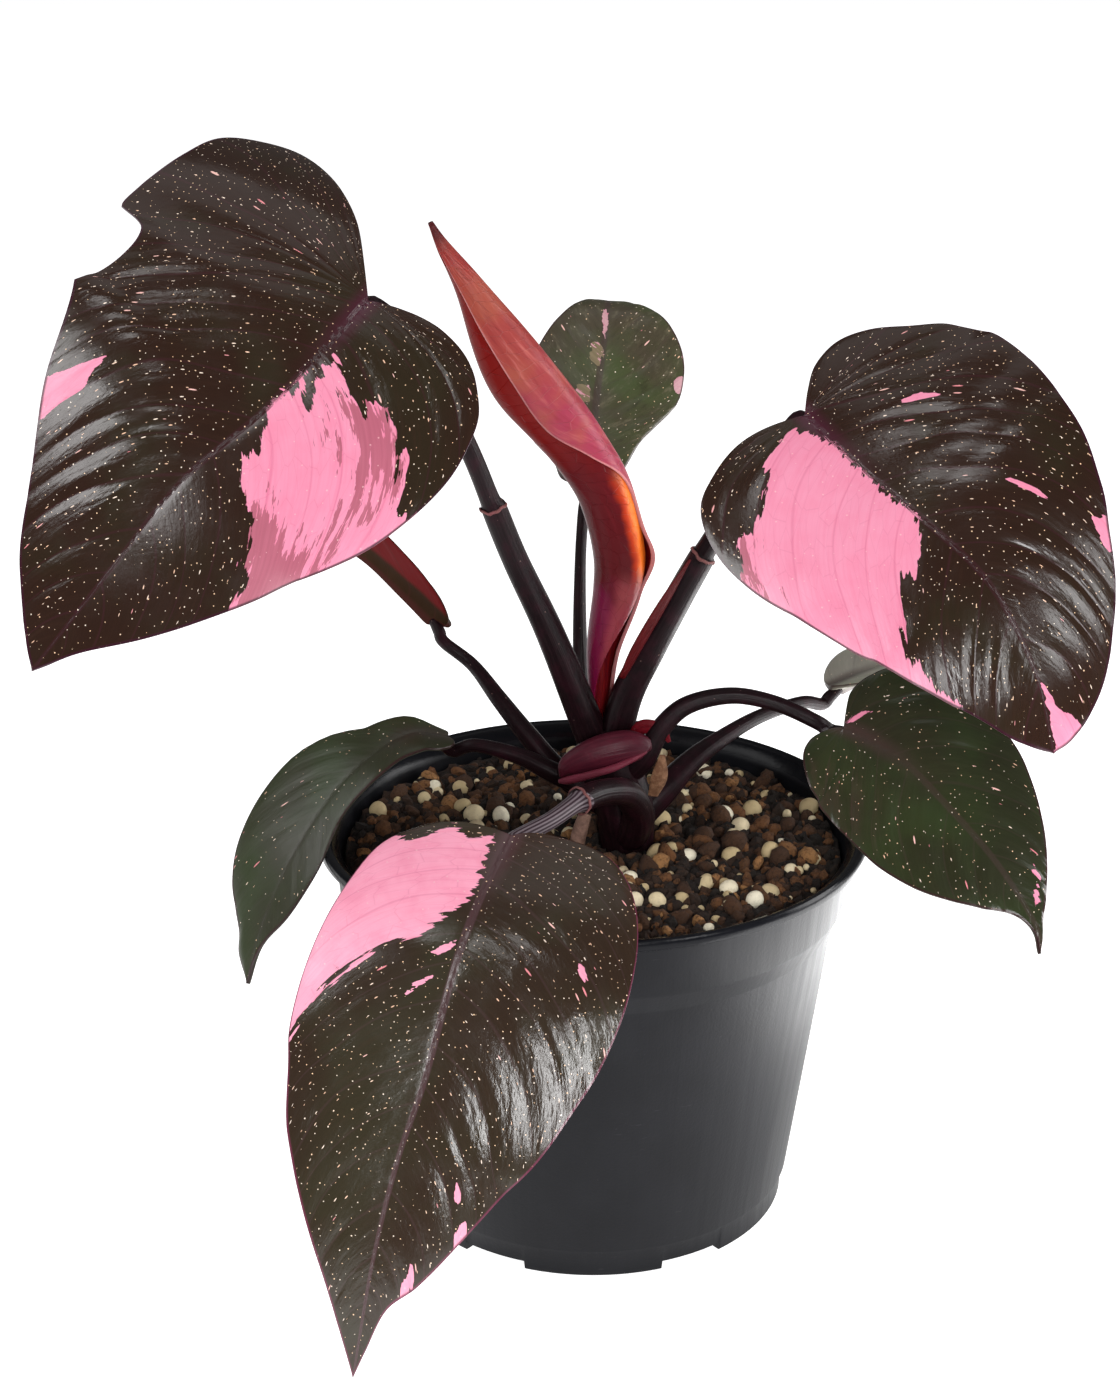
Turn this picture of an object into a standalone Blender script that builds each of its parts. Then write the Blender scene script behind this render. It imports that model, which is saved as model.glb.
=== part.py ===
"""Pink princess philodendron growing in a round nursery pot.

Sizes are millimetres until a mesh is made. X points right, Y away from the front, Z up.
The origin is the middle of the pot's underside.
"""

import math
import random

import bmesh
import bpy
import numpy as np

MM = 0.001
GAP = 0.3

# Pot
RIM_RADIUS = 57.0
RIM_TOP = 83.6
RIM_HEIGHT = 2.4
RIM_LEDGE = 2.2
COLLAR_RADIUS = 53.6
SHOULDER_RADIUS = 50.3
SHOULDER_TOP = 69.3
SHOULDER_FOOT = 65.0
FOOT_RADIUS = 41.0
FOOT_RING_TOP = 5.9
FOOT_RING_WIDTH = 2.4
WALL = 1.3
FLOOR_UNDERSIDE = 3.0
FLOOR_TOP = 5.0
PAD_RADIUS = 8.0
POT_SIDES = 40
NOTCH_COUNT = 6
NOTCH_WIDTH = 14.0
NOTCH_HEIGHT = 2.0
DRAIN_RADIUS = 4.0
DRAIN_CIRCLE = 30.0

# Soil
SOIL_TOP = 79.0
SOIL_SIDES = 32
SOIL_ROUGHNESS = 0.9
STEM_HOLE_RADIUS = 7.5
STEM_HOLE_DEPTH = 20.0
STEM_CENTRE = (7.0, -1.25)
ROOT_HOLE_RADIUS = 2.3
ROOT_HOLE_FLOOR = 73.0
PERLITE_BEADS = 60
BARK_CHIPS = 12
SEED = 11

# Foliage
BLADE_THICKNESS = 0.9
RIB_HALF_WIDTH = 1.6
VEIN_ANGLE_COT = 0.55
QUILT_HEIGHT = 0.45
QUILT_FADE = 12.0
MIDRIB_STATIONS = 14
COLUMNS = (0.3, 0.58, 0.82, 1.0)
PETIOLE_SIDES = 8
ROLL_THICKNESS = 0.75

# Each leaf: midrib points from the petiole to the tip, the direction that the upper face
# looks in at the base and at the tip, then each half's margin from the base to the tip as
# (distance along the midrib, distance from it). A repeated point is a corner.
# fold is the rise of (left, right) halves, bend their droop, lobe the droop of the base lobes.
LEAVES = {
    "leaf_upper_left": {
        "midrib": [(-42, -22, 197), (-49, -33, 191), (-60, -44, 181.5), (-73, -53, 172),
                   (-86, -59, 157), (-100, -63, 140)],
        "face": [(0.05, -0.80, 0.60), (-0.25, -0.90, 0.20)],
        "fold": (0.10, 0.10), "bend": (0.35, 0.35), "lobe": 1.0,
        "left": [(-6, -4.7), (-17.8, -13.3), (-28.5, -24.7), (-33, -34.4), (-29.5, -41.4),
                 (-22.9, -46.6), (-11.5, -47.8), (-1, -48.6), (4.6, -49.2), (7.8, -48.8),
                 (7.8, -48.8), (11.4, -44), (16.5, -41), (24.2, -40.3), (33.4, -41),
                 (40, -42), (40, -42), (45, -37.8), (51, -33), (63, -24.3), (77.5, -16),
                 (85.6, -9.2), (91, -3.9)],
        "right": [(-1, 3.2), (-2.3, 7.8), (-2.8, 13.8), (0, 21.5), (6, 27), (11.6, 30.8), (21, 33),
                  (32, 32.2), (42.8, 29.3), (54, 26.2), (62.5, 22.4), (76, 13.1), (86, 5), (92, 1.4)],
        "samples": 26, "petiole_radius": 1.9,
    },
    "leaf_upper_right": {
        "midrib": [(39.5, -15, 173.5), (44.5, -22, 170), (51, -29, 165.5), (58, -36, 161),
                   (70.5, -46, 151), (79, -52, 136), (83, -55, 121)],
        "face": [(0.0, -0.80, 0.60), (0.30, -0.90, 0.20)],
        "fold": (0.10, 0.10), "bend": (0.35, 0.35), "lobe": 1.0,
        "left": [(-0.3, -3.3), (-2.3, -7.8), (-2.6, -13.8), (-0.4, -20.4), (3.4, -26.2),
                 (8, -29.7), (13.3, -31.4), (20, -31.6), (27.2, -30.6), (34.7, -28.8),
                 (47.3, -26.6), (58.2, -23), (69.4, -16.1), (77.5, -9.2), (81.2, -4.4)],
        "right": [(-5, 4.5), (-9.1, 9.3), (-11, 15.9), (-8.8, 22.2), (-4, 28.1), (0.5, 34),
                  (6.8, 37.8), (18, 38.9), (28.6, 37.4), (40, 34), (47.5, 29.2), (53.4, 24.8),
                  (61.5, 20.4), (68.3, 16), (75, 11.3), (79.6, 7.4), (82.6, 3.6)],
        "samples": 22, "petiole_radius": 1.9,
    },
    "leaf_front": {
        "midrib": [(-16, -45, 100), (-21.5, -60, 94), (-26, -72, 85.5), (-31, -82, 69),
                   (-36, -87, 55), (-40.5, -92, 37.5), (-44.5, -96, 15)],
        "face": [(0.0, -0.45, 0.90), (-0.05, -0.95, 0.10)],
        "fold": (0.06, 0.06), "bend": (0.35, 0.35), "lobe": 0.5,
        "left": [(0.8, -2.9), (0.4, -8), (1.6, -13.8), (5.3, -18.4), (10.9, -22.2), (20, -24.4),
                 (31, -26), (42.6, -26.8), (53.5, -26), (64.7, -22.6), (73.5, -18.4),
                 (83, -13.3), (92.5, -8), (101.5, -3.8)],
        "right": [(-2, 4), (-2.6, 8.8), (-2.1, 16), (0.7, 21.8), (7.3, 27), (17.5, 30.5),
                  (31, 31.7), (43.5, 30), (54, 26), (67, 20.8), (80, 14.7), (90, 9), (96, 4),
                  (104.5, 1.5)],
        "samples": 22, "petiole_radius": 1.7,
    },
    "leaf_right": {
        "midrib": [(50.5, -5, 106), (55, -7, 104.5), (62, -11, 101), (68, -15, 96),
                   (79, -24, 85.5), (86.5, -31, 75), (87.5, -34.5, 70)],
        "face": [(0.10, -0.65, 0.75), (0.45, -0.85, 0.30)],
        "fold": (0.08, 0.08), "bend": (0.40, 0.40), "lobe": 0.8,
        "left": [(-2.4, -1.6), (-4.8, -5.7), (-4.1, -10.6), (1.2, -16.8), (8.5, -19.6),
                 (16, -20.6), (28, -20), (39, -15.8), (47, -9), (51.5, -3.6), (55.5, -1.2)],
        "right": [(-0.8, 3.3), (-2.2, 8), (-0.5, 13.5), (4.5, 18.5), (13, 21.8), (25, 20.9),
                  (34.5, 17), (44.5, 10.8), (52, 5), (56, 1.8)],
        "samples": 18, "petiole_radius": 1.5,
    },
    "leaf_left": {
        "midrib": [(-30, 5, 100), (-37.3, 1.5, 102), (-45.3, -3.5, 99), (-53.2, -8, 92),
                   (-61, -14, 81), (-67.2, -19, 67.5), (-70, -23, 57.5)],
        "face": [(-0.30, -0.35, 0.90), (-0.70, -0.65, 0.20)],
        "fold": (0.05, 0.05), "bend": (0.50, 0.70), "lobe": 0.6,
        "left": [(-0.3, -2), (3.5, -3.8), (7.2, -6.4), (11, -7.6), (15, -8.6), (18.5, -11.6),
                 (23, -14.4), (29, -17.2), (37.8, -18.2), (47.7, -16.9), (54.5, -13.7), (59, -9.3),
                 (62.5, -6), (66.4, -4.4)],
        "right": [(-0.5, 2.8), (3.5, 5.4), (10, 6.6), (15, 6), (21, 6), (32, 5.9), (43.7, 7.9),
                  (54.6, 6.1), (61.8, 2.4), (66.4, 0.6)],
        "samples": 16, "petiole_radius": 1.4,
    },
    "leaf_back": {
        "midrib": [(-1, 32, 147.5), (0, 38, 152.5), (1, 48, 160.5), (2.5, 58, 169),
                   (3.5, 67, 175.5), (4, 77, 174.5), (4, 84, 166)],
        "face": [(0.0, -0.75, 0.65), (0.10, 0.45, 0.90)],
        "fold": (0.05, 0.05), "bend": (0.70, 0.70), "lobe": 0.5,
        "left": [(-1.5, -2.5), (-0.5, -5.6), (4.6, -7.6), (11, -10.1), (17, -13.9), (23.4, -17.2),
                 (30.2, -18), (36.5, -17.2), (43.7, -13.9), (51, -9), (58, -4)],
        "right": [(-1.5, 2.5), (-0.5, 5.6), (2.8, 7), (9, 10.8), (14.5, 13.9), (20, 16), (27, 15.6),
                  (34, 12.6), (41, 9.2), (47, 6.4), (53, 4.2), (59, 2.4)],
        "samples": 16, "petiole_radius": 1.2,
    },
    "leaf_back_right": {
        "midrib": [(52, 38, 98.5), (60, 43, 100), (70, 50, 100), (80, 57, 96), (88, 62, 89)],
        "face": [(-0.10, 0.10, 1.0), (0.25, 0.15, 0.95)],
        "fold": (0.12, 0.06), "bend": (0.30, 0.30), "lobe": 0.5,
        "left": [(0.3, -1.6), (2, -4.6), (6, -9), (12, -12.8), (19, -14.6), (27, -12), (35, -7),
                 (42, -3)],
        "right": [(0.3, 1.6), (2, 4.6), (6, 9), (12, 12.8), (19, 14.6), (27, 12), (35, 7),
                  (42, 3)],
        "samples": 14, "petiole_radius": 1.4,
    },
    "leaf_back_left": {
        "midrib": [(-30.9, 22.4, 118.6), (-39, 28, 124.5), (-48, 35, 130), (-58, 41, 133),
                   (-68, 46, 132), (-76, 50, 128)],
        "face": [(0.60, 0.45, 0.65), (0.55, 0.45, 0.70)],
        "fold": (0.35, 0.35), "bend": (0.30, 0.30), "lobe": 0.0,
        "left": [(-0.5, -2), (2, -5.5), (8, -8.5), (18, -10.5), (28, -10), (38, -7), (46, -3)],
        "right": [(-0.5, 2), (2, 5.5), (8, 8.5), (18, 10.5), (28, 10), (38, 7), (46, 3)],
        "samples": 14, "petiole_radius": 1.3,
    },
}

# The stem from its foot in the soil, leaning to the left: (x, y, z, radius).
STEM = [(7.5, 0, 60, 4.5), (7.2, 0, 78, 5.6), (6, 0, 88, 6.0), (3.5, 0.3, 97, 5.6),
        (1.7, 0.5, 104, 3.2)]

# The root that leaves the stem and stands in the soil.
AERIAL_ROOT = [(-1.6, -6.6, 88, 1.3), (-3, -7, 83, 1.6), (-3.6, -6.9, 78, 1.4), (-3.6, -6.9, 74, 1.1)]

# Each petiole: points from inside the crown towards its leaf, with the radius at each.
PETIOLES = {
    "leaf_upper_left": [(3.5, 0.5, 92, 3.6), (-2, -0.5, 107, 3.4), (-9, -4, 126.5, 2.9),
                        (-15.5, -8, 142.5, 2.6), (-19.6, -10.5, 154, 2.5), (-20.4, -11, 156, 2.0),
                        (-24, -14, 166.5, 1.9), (-31, -17, 183, 1.9), (-36.5, -17.5, 191, 1.9)],
    "leaf_upper_right": [(3, 1.5, 92, 3.6), (6.2, -1, 110, 3.3), (11.2, -3, 122, 3.0),
                         (17, -5, 134.5, 2.8), (21, -7, 143, 2.6), (22, -7.3, 145, 2.1),
                         (31, -9.5, 161.5, 1.9), (36.5, -10, 168.5, 1.9)],
    "leaf_front": [(7, -1, 80, 3.4), (8.6, -7, 84.5, 3.3), (8.8, -10.5, 90.5, 3.1), (6.2, -15, 96, 2.9),
                   (1.6, -21, 98.8, 2.6), (-2.6, -26, 99.4, 2.6), (-4.4, -28.5, 99.2, 1.9),
                   (-9, -35.5, 98.8, 1.7)],
    "leaf_right": [(4, 0, 92, 3.0), (10, -3, 98, 2.4), (13.6, -3, 105, 2.1), (19, -2.5, 110, 1.9),
                   (28, -2.3, 112, 1.7), (37, -2.8, 110.4, 1.6), (45, -4, 107, 1.5)],
    "leaf_left": [(4, 0.5, 88, 2.6), (-8, 1.5, 93.5, 2.2), (-15, 3, 96.5, 1.8), (-24, 4.5, 98.4, 1.4)],
    "leaf_back": [(0, 3, 90, 2.6), (-2, 9, 104, 1.9), (-2.7, 14, 118, 1.5), (-2.6, 22, 132, 1.2),
                  (-2, 27.5, 141, 1.2)],
    "leaf_back_right": [(6, 1, 80, 3.2), (13.5, 4.5, 87, 3.1), (20.5, 10, 92.5, 2.4),
                        (28, 16.5, 95.6, 1.8), (36, 24, 97.2, 1.5), (45.5, 32, 97.2, 1.4)],
    "leaf_back_left": [(4, 1.5, 85, 2.6), (-6.5, 6, 91.5, 2.4), (-13.5, 10, 98.5, 2.1),
                       (-19.5, 14, 105, 1.8), (-25, 18, 111, 1.4)],
}

# New leaf, still rolled: centre line with the roll's radius, then the angles round it, in turns,
# where the sheet starts and ends. 0 faces right, a quarter turn faces the front.
ROLL = [
    ((1.6, 3.2, 108.9), 2.0, 0.05, -0.62),
    ((2.0, 2.0, 121.0), 3.6, 0.05, -0.78),
    ((4.6, 1.0, 133.5), 4.9, 0.03, -0.92),
    ((5.0, 0.5, 142.0), 5.6, 0.07, -1.00),
    ((2.0, 0.0, 154.0), 5.6, 0.20, -1.00),
    ((-2.6, -1.0, 163.0), 5.9, 0.33, -0.96),
    ((-7.6, -2.0, 171.0), 6.3, 0.43, -0.90),
    ((-13.6, -3.5, 179.5), 6.0, 0.44, -0.84),
    ((-19.4, -5.0, 188.5), 4.7, 0.44, -0.78),
    ((-24.6, -6.5, 197.5), 2.9, 0.42, -0.60),
    ((-29.2, -7.6, 205.0), 1.3, 0.36, -0.44),
    ((-31.2, -8.0, 208.8), 0.7, 0.30, -0.34),
]
ROLL_STATIONS = 17
ROLL_STEPS = 13
ROLL_PITCH = 1.7

COLOURS = {
    "pot": ((0.018, 0.019, 0.021), 0.42),
    "soil": ((0.045, 0.026, 0.016), 0.95),
    "petiole": ((0.035, 0.016, 0.020), 0.38),
    "leaf_dark": ((0.045, 0.034, 0.020), 0.28),
    "leaf_green": ((0.022, 0.045, 0.018), 0.28),
    "leaf_brown": ((0.090, 0.030, 0.028), 0.40),
    "new_leaf": ((0.470, 0.070, 0.070), 0.38),
    "red_sheath": ((0.200, 0.010, 0.018), 0.40),
    "bract": ((0.110, 0.016, 0.030), 0.36),
    "dry_sheath": ((0.150, 0.060, 0.025), 0.80),
    "root": ((0.280, 0.150, 0.100), 0.70),
}


def clear_scene():
    for obj in list(bpy.data.objects):
        bpy.data.objects.remove(obj, do_unlink=True)


def material(name):
    """A plain surface in the part's colour and roughness."""
    if name in bpy.data.materials:
        return bpy.data.materials[name]
    colour, roughness = COLOURS[name]
    mat = bpy.data.materials.new(name)
    mat.use_nodes = True
    shader = mat.node_tree.nodes["Principled BSDF"]
    shader.inputs["Base Color"].default_value = (*colour, 1.0)
    shader.inputs["Roughness"].default_value = roughness
    shader.inputs["Metallic"].default_value = 0.0
    return mat


def add_mesh(name, points, faces, colour, parent=None):
    """A closed mesh object from points in millimetres, with its normals facing out."""
    bm = bmesh.new()
    verts = [bm.verts.new([c * MM for c in p]) for p in points]
    for face in faces:
        if len(set(face)) > 2:
            bm.faces.new([verts[i] for i in face])
    bmesh.ops.recalc_face_normals(bm, faces=bm.faces)
    mesh = bpy.data.meshes.new(name)
    bm.to_mesh(mesh)
    bm.free()
    mesh.shade_smooth()
    obj = bpy.data.objects.new(name, mesh)
    bpy.context.collection.objects.link(obj)
    obj.data.materials.append(material(colour))
    obj.parent = parent
    return obj


def smooth_run(points, steps=12):
    """A curve through the points. A point given twice stays a corner."""
    runs = [[]]
    for point in [np.array(p, float) for p in points]:
        if runs[-1] and np.allclose(runs[-1][-1], point):
            runs.append([point])
        else:
            runs[-1].append(point)
    curve = []
    for run in runs:
        ends = [2 * run[0] - run[1]] + run + [2 * run[-1] - run[-2]]
        for a, b, c, d in zip(ends, ends[1:], ends[2:], ends[3:]):
            for t in np.arange(steps) / steps:
                curve.append(0.5 * (2 * b + (c - a) * t + (2 * a - 5 * b + 4 * c - d) * t * t
                                    + (3 * b - a - 3 * c + d) * t ** 3))
    curve.append(runs[-1][-1])
    return np.array(curve)


def lengths_of(curve):
    steps = np.linalg.norm(np.diff(curve[:, :3], axis=0), axis=1)
    return np.concatenate([[0.0], np.cumsum(steps)])


def spaced(curve, count):
    """The curve's points at equal distances."""
    run = lengths_of(curve)
    at = np.linspace(0, run[-1], count)
    return np.stack([np.interp(at, run, curve[:, k]) for k in range(curve.shape[1])], 1)


def unit(v):
    return v / np.linalg.norm(v)


def join(target, others):
    """Fuses the other solids into the target and removes them."""
    group = bpy.data.collections.new(target.name + "_joined")
    bpy.context.scene.collection.children.link(group)
    for obj in others:
        for owner in list(obj.users_collection):
            owner.objects.unlink(obj)
        group.objects.link(obj)
    union = target.modifiers.new("union", "BOOLEAN")
    union.operation = "UNION"
    union.solver = "EXACT"
    union.operand_type = "COLLECTION"
    union.collection = group
    union.use_self = True
    apply_modifiers(target)
    for obj in others:
        bpy.data.objects.remove(obj, do_unlink=True)
    bpy.data.collections.remove(group)


def cut(target, cutters):
    """Cuts each cutter out of the target and removes it."""
    for cutter in cutters:
        cutter.hide_render = True
        cutter.display_type = "WIRE"
        away = target.modifiers.new("cut", "BOOLEAN")
        away.operation = "DIFFERENCE"
        away.solver = "EXACT"
        away.object = cutter
    apply_modifiers(target)
    for cutter in cutters:
        bpy.data.objects.remove(cutter, do_unlink=True)


def apply_modifiers(obj):
    bpy.context.view_layer.update()
    graph = bpy.context.evaluated_depsgraph_get()
    mesh = bpy.data.meshes.new_from_object(obj.evaluated_get(graph))
    obj.modifiers.clear()
    obj.data = mesh
    obj.data.shade_smooth()


def lathe(name, profile, sides, colour, parent=None):
    """Turns a profile of (radius, height) round the vertical axis; it starts and ends on the axis."""
    points = []
    rings = []
    for radius, height in profile:
        if radius == 0:
            rings.append([len(points)] * sides)
            points.append((0, 0, height))
            continue
        rings.append(range(len(points), len(points) + sides))
        for i in range(sides):
            turn = 2 * math.pi * (i + 0.5) / sides
            points.append((radius * math.cos(turn), radius * math.sin(turn), height))
    faces = []
    for low, high in zip(rings, rings[1:]):
        for i in range(sides):
            j = (i + 1) % sides
            ring = (low[i], low[j], high[j], high[i])
            faces.append(list(dict.fromkeys(ring)))
    return add_mesh(name, points, faces, colour, parent)


def build_pot():
    inner_top = RIM_RADIUS - RIM_LEDGE
    outer = [
        (0, 0), (PAD_RADIUS - 1, 0), (PAD_RADIUS, FLOOR_UNDERSIDE),
        (FOOT_RADIUS - FOOT_RING_WIDTH, FLOOR_UNDERSIDE), (FOOT_RADIUS - FOOT_RING_WIDTH, 0),
        (FOOT_RADIUS, 0), (FOOT_RADIUS + 0.4, FOOT_RING_TOP),
        (FOOT_RADIUS + 1.1, FOOT_RING_TOP + 0.5),
        (SHOULDER_RADIUS, SHOULDER_FOOT), (COLLAR_RADIUS - 1.2, SHOULDER_TOP),
        (COLLAR_RADIUS, RIM_TOP - RIM_HEIGHT), (RIM_RADIUS, RIM_TOP - RIM_HEIGHT),
        (RIM_RADIUS + 0.2, RIM_TOP - 0.7), (RIM_RADIUS - 0.4, RIM_TOP),
    ]
    inner = [
        (inner_top, RIM_TOP - 0.2), (COLLAR_RADIUS - WALL, RIM_TOP - RIM_HEIGHT - 1),
        (COLLAR_RADIUS - 1.2 - WALL, SHOULDER_TOP + 0.4),
        (SHOULDER_RADIUS - WALL, SHOULDER_FOOT + 0.4), (FOOT_RADIUS + 1.1 - WALL, FLOOR_TOP),
        (0, FLOOR_TOP),
    ]
    pot = lathe("pot", outer + inner, POT_SIDES, "pot")
    cutters = []
    for i in range(NOTCH_COUNT):
        turn = 2 * math.pi * i / NOTCH_COUNT
        middle = FOOT_RADIUS - FOOT_RING_WIDTH / 2
        bpy.ops.mesh.primitive_cube_add(size=MM, rotation=(0, 0, turn), location=(
            middle * math.cos(turn) * MM, middle * math.sin(turn) * MM, 0))
        notch = bpy.context.active_object
        notch.scale = (8.0, NOTCH_WIDTH, 2 * NOTCH_HEIGHT)
        cutters.append(notch)
        bpy.ops.mesh.primitive_cylinder_add(
            vertices=16, radius=DRAIN_RADIUS * MM, depth=8 * MM,
            location=(DRAIN_CIRCLE * math.cos(turn) * MM, DRAIN_CIRCLE * math.sin(turn) * MM,
                      FLOOR_TOP * MM))
        cutters.append(bpy.context.active_object)
    cut(pot, cutters)
    return pot


def soil_height(x, y):
    """The soil's uneven surface, a little lower at the wall."""
    swell = math.sin(0.21 * x + 1.3) * math.cos(0.17 * y - 0.6)
    ripple = math.sin(0.63 * x - 0.4 * y) * math.cos(0.52 * y + 0.3 * x)
    fall = 1.2 * (math.hypot(x, y) / COLLAR_RADIUS) ** 4
    return SOIL_TOP + SOIL_ROUGHNESS * (0.6 * swell + 0.6 * ripple) - fall


def build_soil(parent, rng):
    """Potting mix that fills the pot, with a plain hole for the stem and beads of perlite."""
    cx, cy = STEM_CENTRE
    wall = WALL + GAP + 0.1
    side = [(FOOT_RADIUS + 1.1 - wall, FLOOR_TOP + GAP), (SHOULDER_RADIUS - wall, SHOULDER_FOOT + 0.8),
            (COLLAR_RADIUS - 1.3 - wall, SHOULDER_TOP + 0.8)]
    edge = COLLAR_RADIUS - 0.9 - wall
    points = [(0, 0, FLOOR_TOP + GAP)]
    rings = [[0] * SOIL_SIDES]
    steps = [(r, z, None) for r, z in side]
    steps += [(edge, None, 0.0), (46, None, 0.0), (38, None, 0.0), (30, None, 0.1), (22, None, 0.3),
              (14, None, 0.8), (STEM_HOLE_RADIUS, None, 1.0),
              (STEM_HOLE_RADIUS, SOIL_TOP - STEM_HOLE_DEPTH, 1.0)]
    for radius, height, centred in steps:
        rings.append(range(len(points), len(points) + SOIL_SIDES))
        for i in range(SOIL_SIDES):
            turn = 2 * math.pi * (i + 0.5) / SOIL_SIDES
            x = radius * math.cos(turn) + cx * (centred or 0)
            y = radius * math.sin(turn) + cy * (centred or 0)
            points.append((x, y, soil_height(x, y) if height is None else height))
    rings.append([len(points)] * SOIL_SIDES)
    points.append((cx, cy, SOIL_TOP - STEM_HOLE_DEPTH))
    faces = []
    for low, high in zip(rings, rings[1:]):
        for i in range(SOIL_SIDES):
            j = (i + 1) % SOIL_SIDES
            faces.append(list(dict.fromkeys((low[i], low[j], high[j], high[i]))))
    soil = add_mesh("soil", points, faces, "soil", parent)
    pieces = []
    while len(pieces) < PERLITE_BEADS + BARK_CHIPS:
        radius = STEM_HOLE_RADIUS + 3 + (edge - 4.2 - STEM_HOLE_RADIUS - 3) * math.sqrt(rng.random())
        turn = 2 * math.pi * rng.random()
        x, y = radius * math.cos(turn), radius * math.sin(turn)
        near_root = math.hypot(x - AERIAL_ROOT[-1][0], y - AERIAL_ROOT[-1][1]) < ROOT_HOLE_RADIUS + 3.2
        if near_root or math.hypot(x - cx, y - cy) < STEM_HOLE_RADIUS + 3.2:
            continue
        bead = len(pieces) < PERLITE_BEADS
        size = rng.uniform(1.9, 2.8)
        bpy.ops.mesh.primitive_ico_sphere_add(
            subdivisions=1, radius=size * MM,
            location=(x * MM, y * MM, (soil_height(x, y) + (0.35 if bead else 0.0) * size) * MM),
            rotation=[rng.uniform(0, 6.28) for _ in range(3)])
        piece = bpy.context.active_object
        if not bead:
            piece.scale = (1.5, 0.8, 0.5)
        pieces.append(piece)
    join(soil, pieces)
    x, y = AERIAL_ROOT[-1][:2]
    depth = SOIL_TOP + 8 - ROOT_HOLE_FLOOR
    bpy.ops.mesh.primitive_cylinder_add(
        vertices=12, radius=ROOT_HOLE_RADIUS * MM, depth=depth * MM,
        location=(x * MM, y * MM, (ROOT_HOLE_FLOOR + depth / 2) * MM))
    cut(soil, [bpy.context.active_object])
    return soil


class Blade:
    """The bent surface of one leaf: maps (along, across) in millimetres to space."""

    def __init__(self, leaf):
        self.curve = smooth_run(leaf["midrib"], 16)
        self.run = lengths_of(self.curve)
        self.length = self.run[-1]
        self.face = [np.array(f, float) for f in leaf["face"]]
        self.fold = leaf["fold"]
        self.bend = leaf["bend"]
        self.lobe = leaf["lobe"]

    def on_midrib(self, along):
        along = min(max(along, 0.0), self.length)
        return np.array([np.interp(along, self.run, self.curve[:, k]) for k in range(3)])

    def frame(self, along):
        """Midrib point, direction to the tip, direction across and upper face's direction."""
        held = min(max(along, 0.0), self.length)
        tangent = unit(self.on_midrib(held + 1.0) - self.on_midrib(held - 1.0))
        share = held / self.length
        face = self.face[0] * (1 - share) + self.face[1] * share
        up = unit(face - tangent * (face @ tangent))
        across = np.cross(up, tangent)
        return self.on_midrib(held) + tangent * (along - held), tangent, across, up

    def height(self, along, across):
        half = 1 if across > 0 else 0
        rise = self.fold[half] * abs(across) - self.bend[half] * across * across / 100
        if along < 0:
            rise -= self.lobe * along * along / 100
        return rise

    def at(self, along, across, lift=0.0):
        middle, _, side, up = self.frame(along)
        return middle + side * across + up * (self.height(along, across) + lift)


def rib_depth(along, length, radius):
    """How far the midrib stands out below the blade: it thickens from the petiole, then thins."""
    grow = min(along / 3.0, 1.0)
    return 0.2 + grow * (1.9 * radius - 0.2) * max(0.0, 1 - along / length) ** 1.3


def spokes_of(outline, length, samples):
    """Vein lines of one half: (foot on the midrib, margin point), from the base to the tip."""
    step = length / MIDRIB_STATIONS
    margin = spaced(smooth_run([(0, 0)] + outline + [(length, 0)]), samples + 1)[1:]
    feet = np.maximum.accumulate([along - VEIN_ANGLE_COT * abs(across) for along, across in margin])
    feet = np.clip(np.round(feet / step), 0, MIDRIB_STATIONS - 1).astype(int)
    feet[-1] = MIDRIB_STATIONS
    return [(foot, along, across) for foot, (along, across) in zip(feet.tolist(), margin)]


def build_leaf(name, leaf, colour, parent):
    """A closed blade with quilted faces, a cut margin and a midrib that stands out below."""
    blade = Blade(leaf)
    length = blade.length
    half_thick = BLADE_THICKNESS / 2
    points = []
    faces = []
    middle = []
    for station in range(MIDRIB_STATIONS + 1):
        along = length * station / MIDRIB_STATIONS
        depth = rib_depth(along, length, leaf["petiole_radius"])
        middle.append((len(points), len(points) + 1))
        points.append(blade.at(along, 0.0, half_thick))
        points.append(blade.at(along, 0.0, -half_thick - depth))
    for half in ("left", "right"):
        spokes = spokes_of(leaf[half], length, leaf["samples"])
        rows = []
        for i, (station, along, across) in enumerate(spokes[:-1]):
            foot = length * station / MIDRIB_STATIONS
            spoke = np.array([along - foot, across])
            reach = np.linalg.norm(spoke)
            wave = QUILT_HEIGHT * (1 if i % 2 else -1) * min(1.0, reach / QUILT_FADE)
            row = [middle[station]]
            for share in (min(RIB_HALF_WIDTH / reach, 0.2),) + COLUMNS:
                u, v = foot + spoke[0] * share, spoke[1] * share
                lift = wave * math.sin(math.pi * share)
                row.append((len(points), len(points) + 1))
                points.append(blade.at(u, v, lift + half_thick))
                points.append(blade.at(u, v, lift - half_thick))
            rows.append(row)
        rows.append([middle[-1]] * (len(COLUMNS) + 2))
        for i, (low, high) in enumerate(zip(rows, rows[1:])):
            walk = middle[spokes[i][0]:spokes[i + 1][0] + 1]
            for side in (0, 1):
                for a, b in zip(walk, walk[1:]):
                    faces.append((low[1][side], a[side], b[side]))
                faces.append((low[1][side], walk[-1][side], high[1][side]))
                for j in range(1, len(low) - 1):
                    faces.append((low[j][side], high[j][side], high[j + 1][side]))
                    faces.append((low[j][side], high[j + 1][side], low[j + 1][side]))
            faces.append((*low[-1], high[-1][1]))
            faces.append((low[-1][0], high[-1][1], high[-1][0]))
        for a, b in zip(rows[0], rows[0][1:]):
            faces.append((*a, b[1]))
            faces.append((a[0], b[1], b[0]))
    return add_mesh(name, points, [f for f in faces if len(set(f)) == 3], colour, parent)


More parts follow.
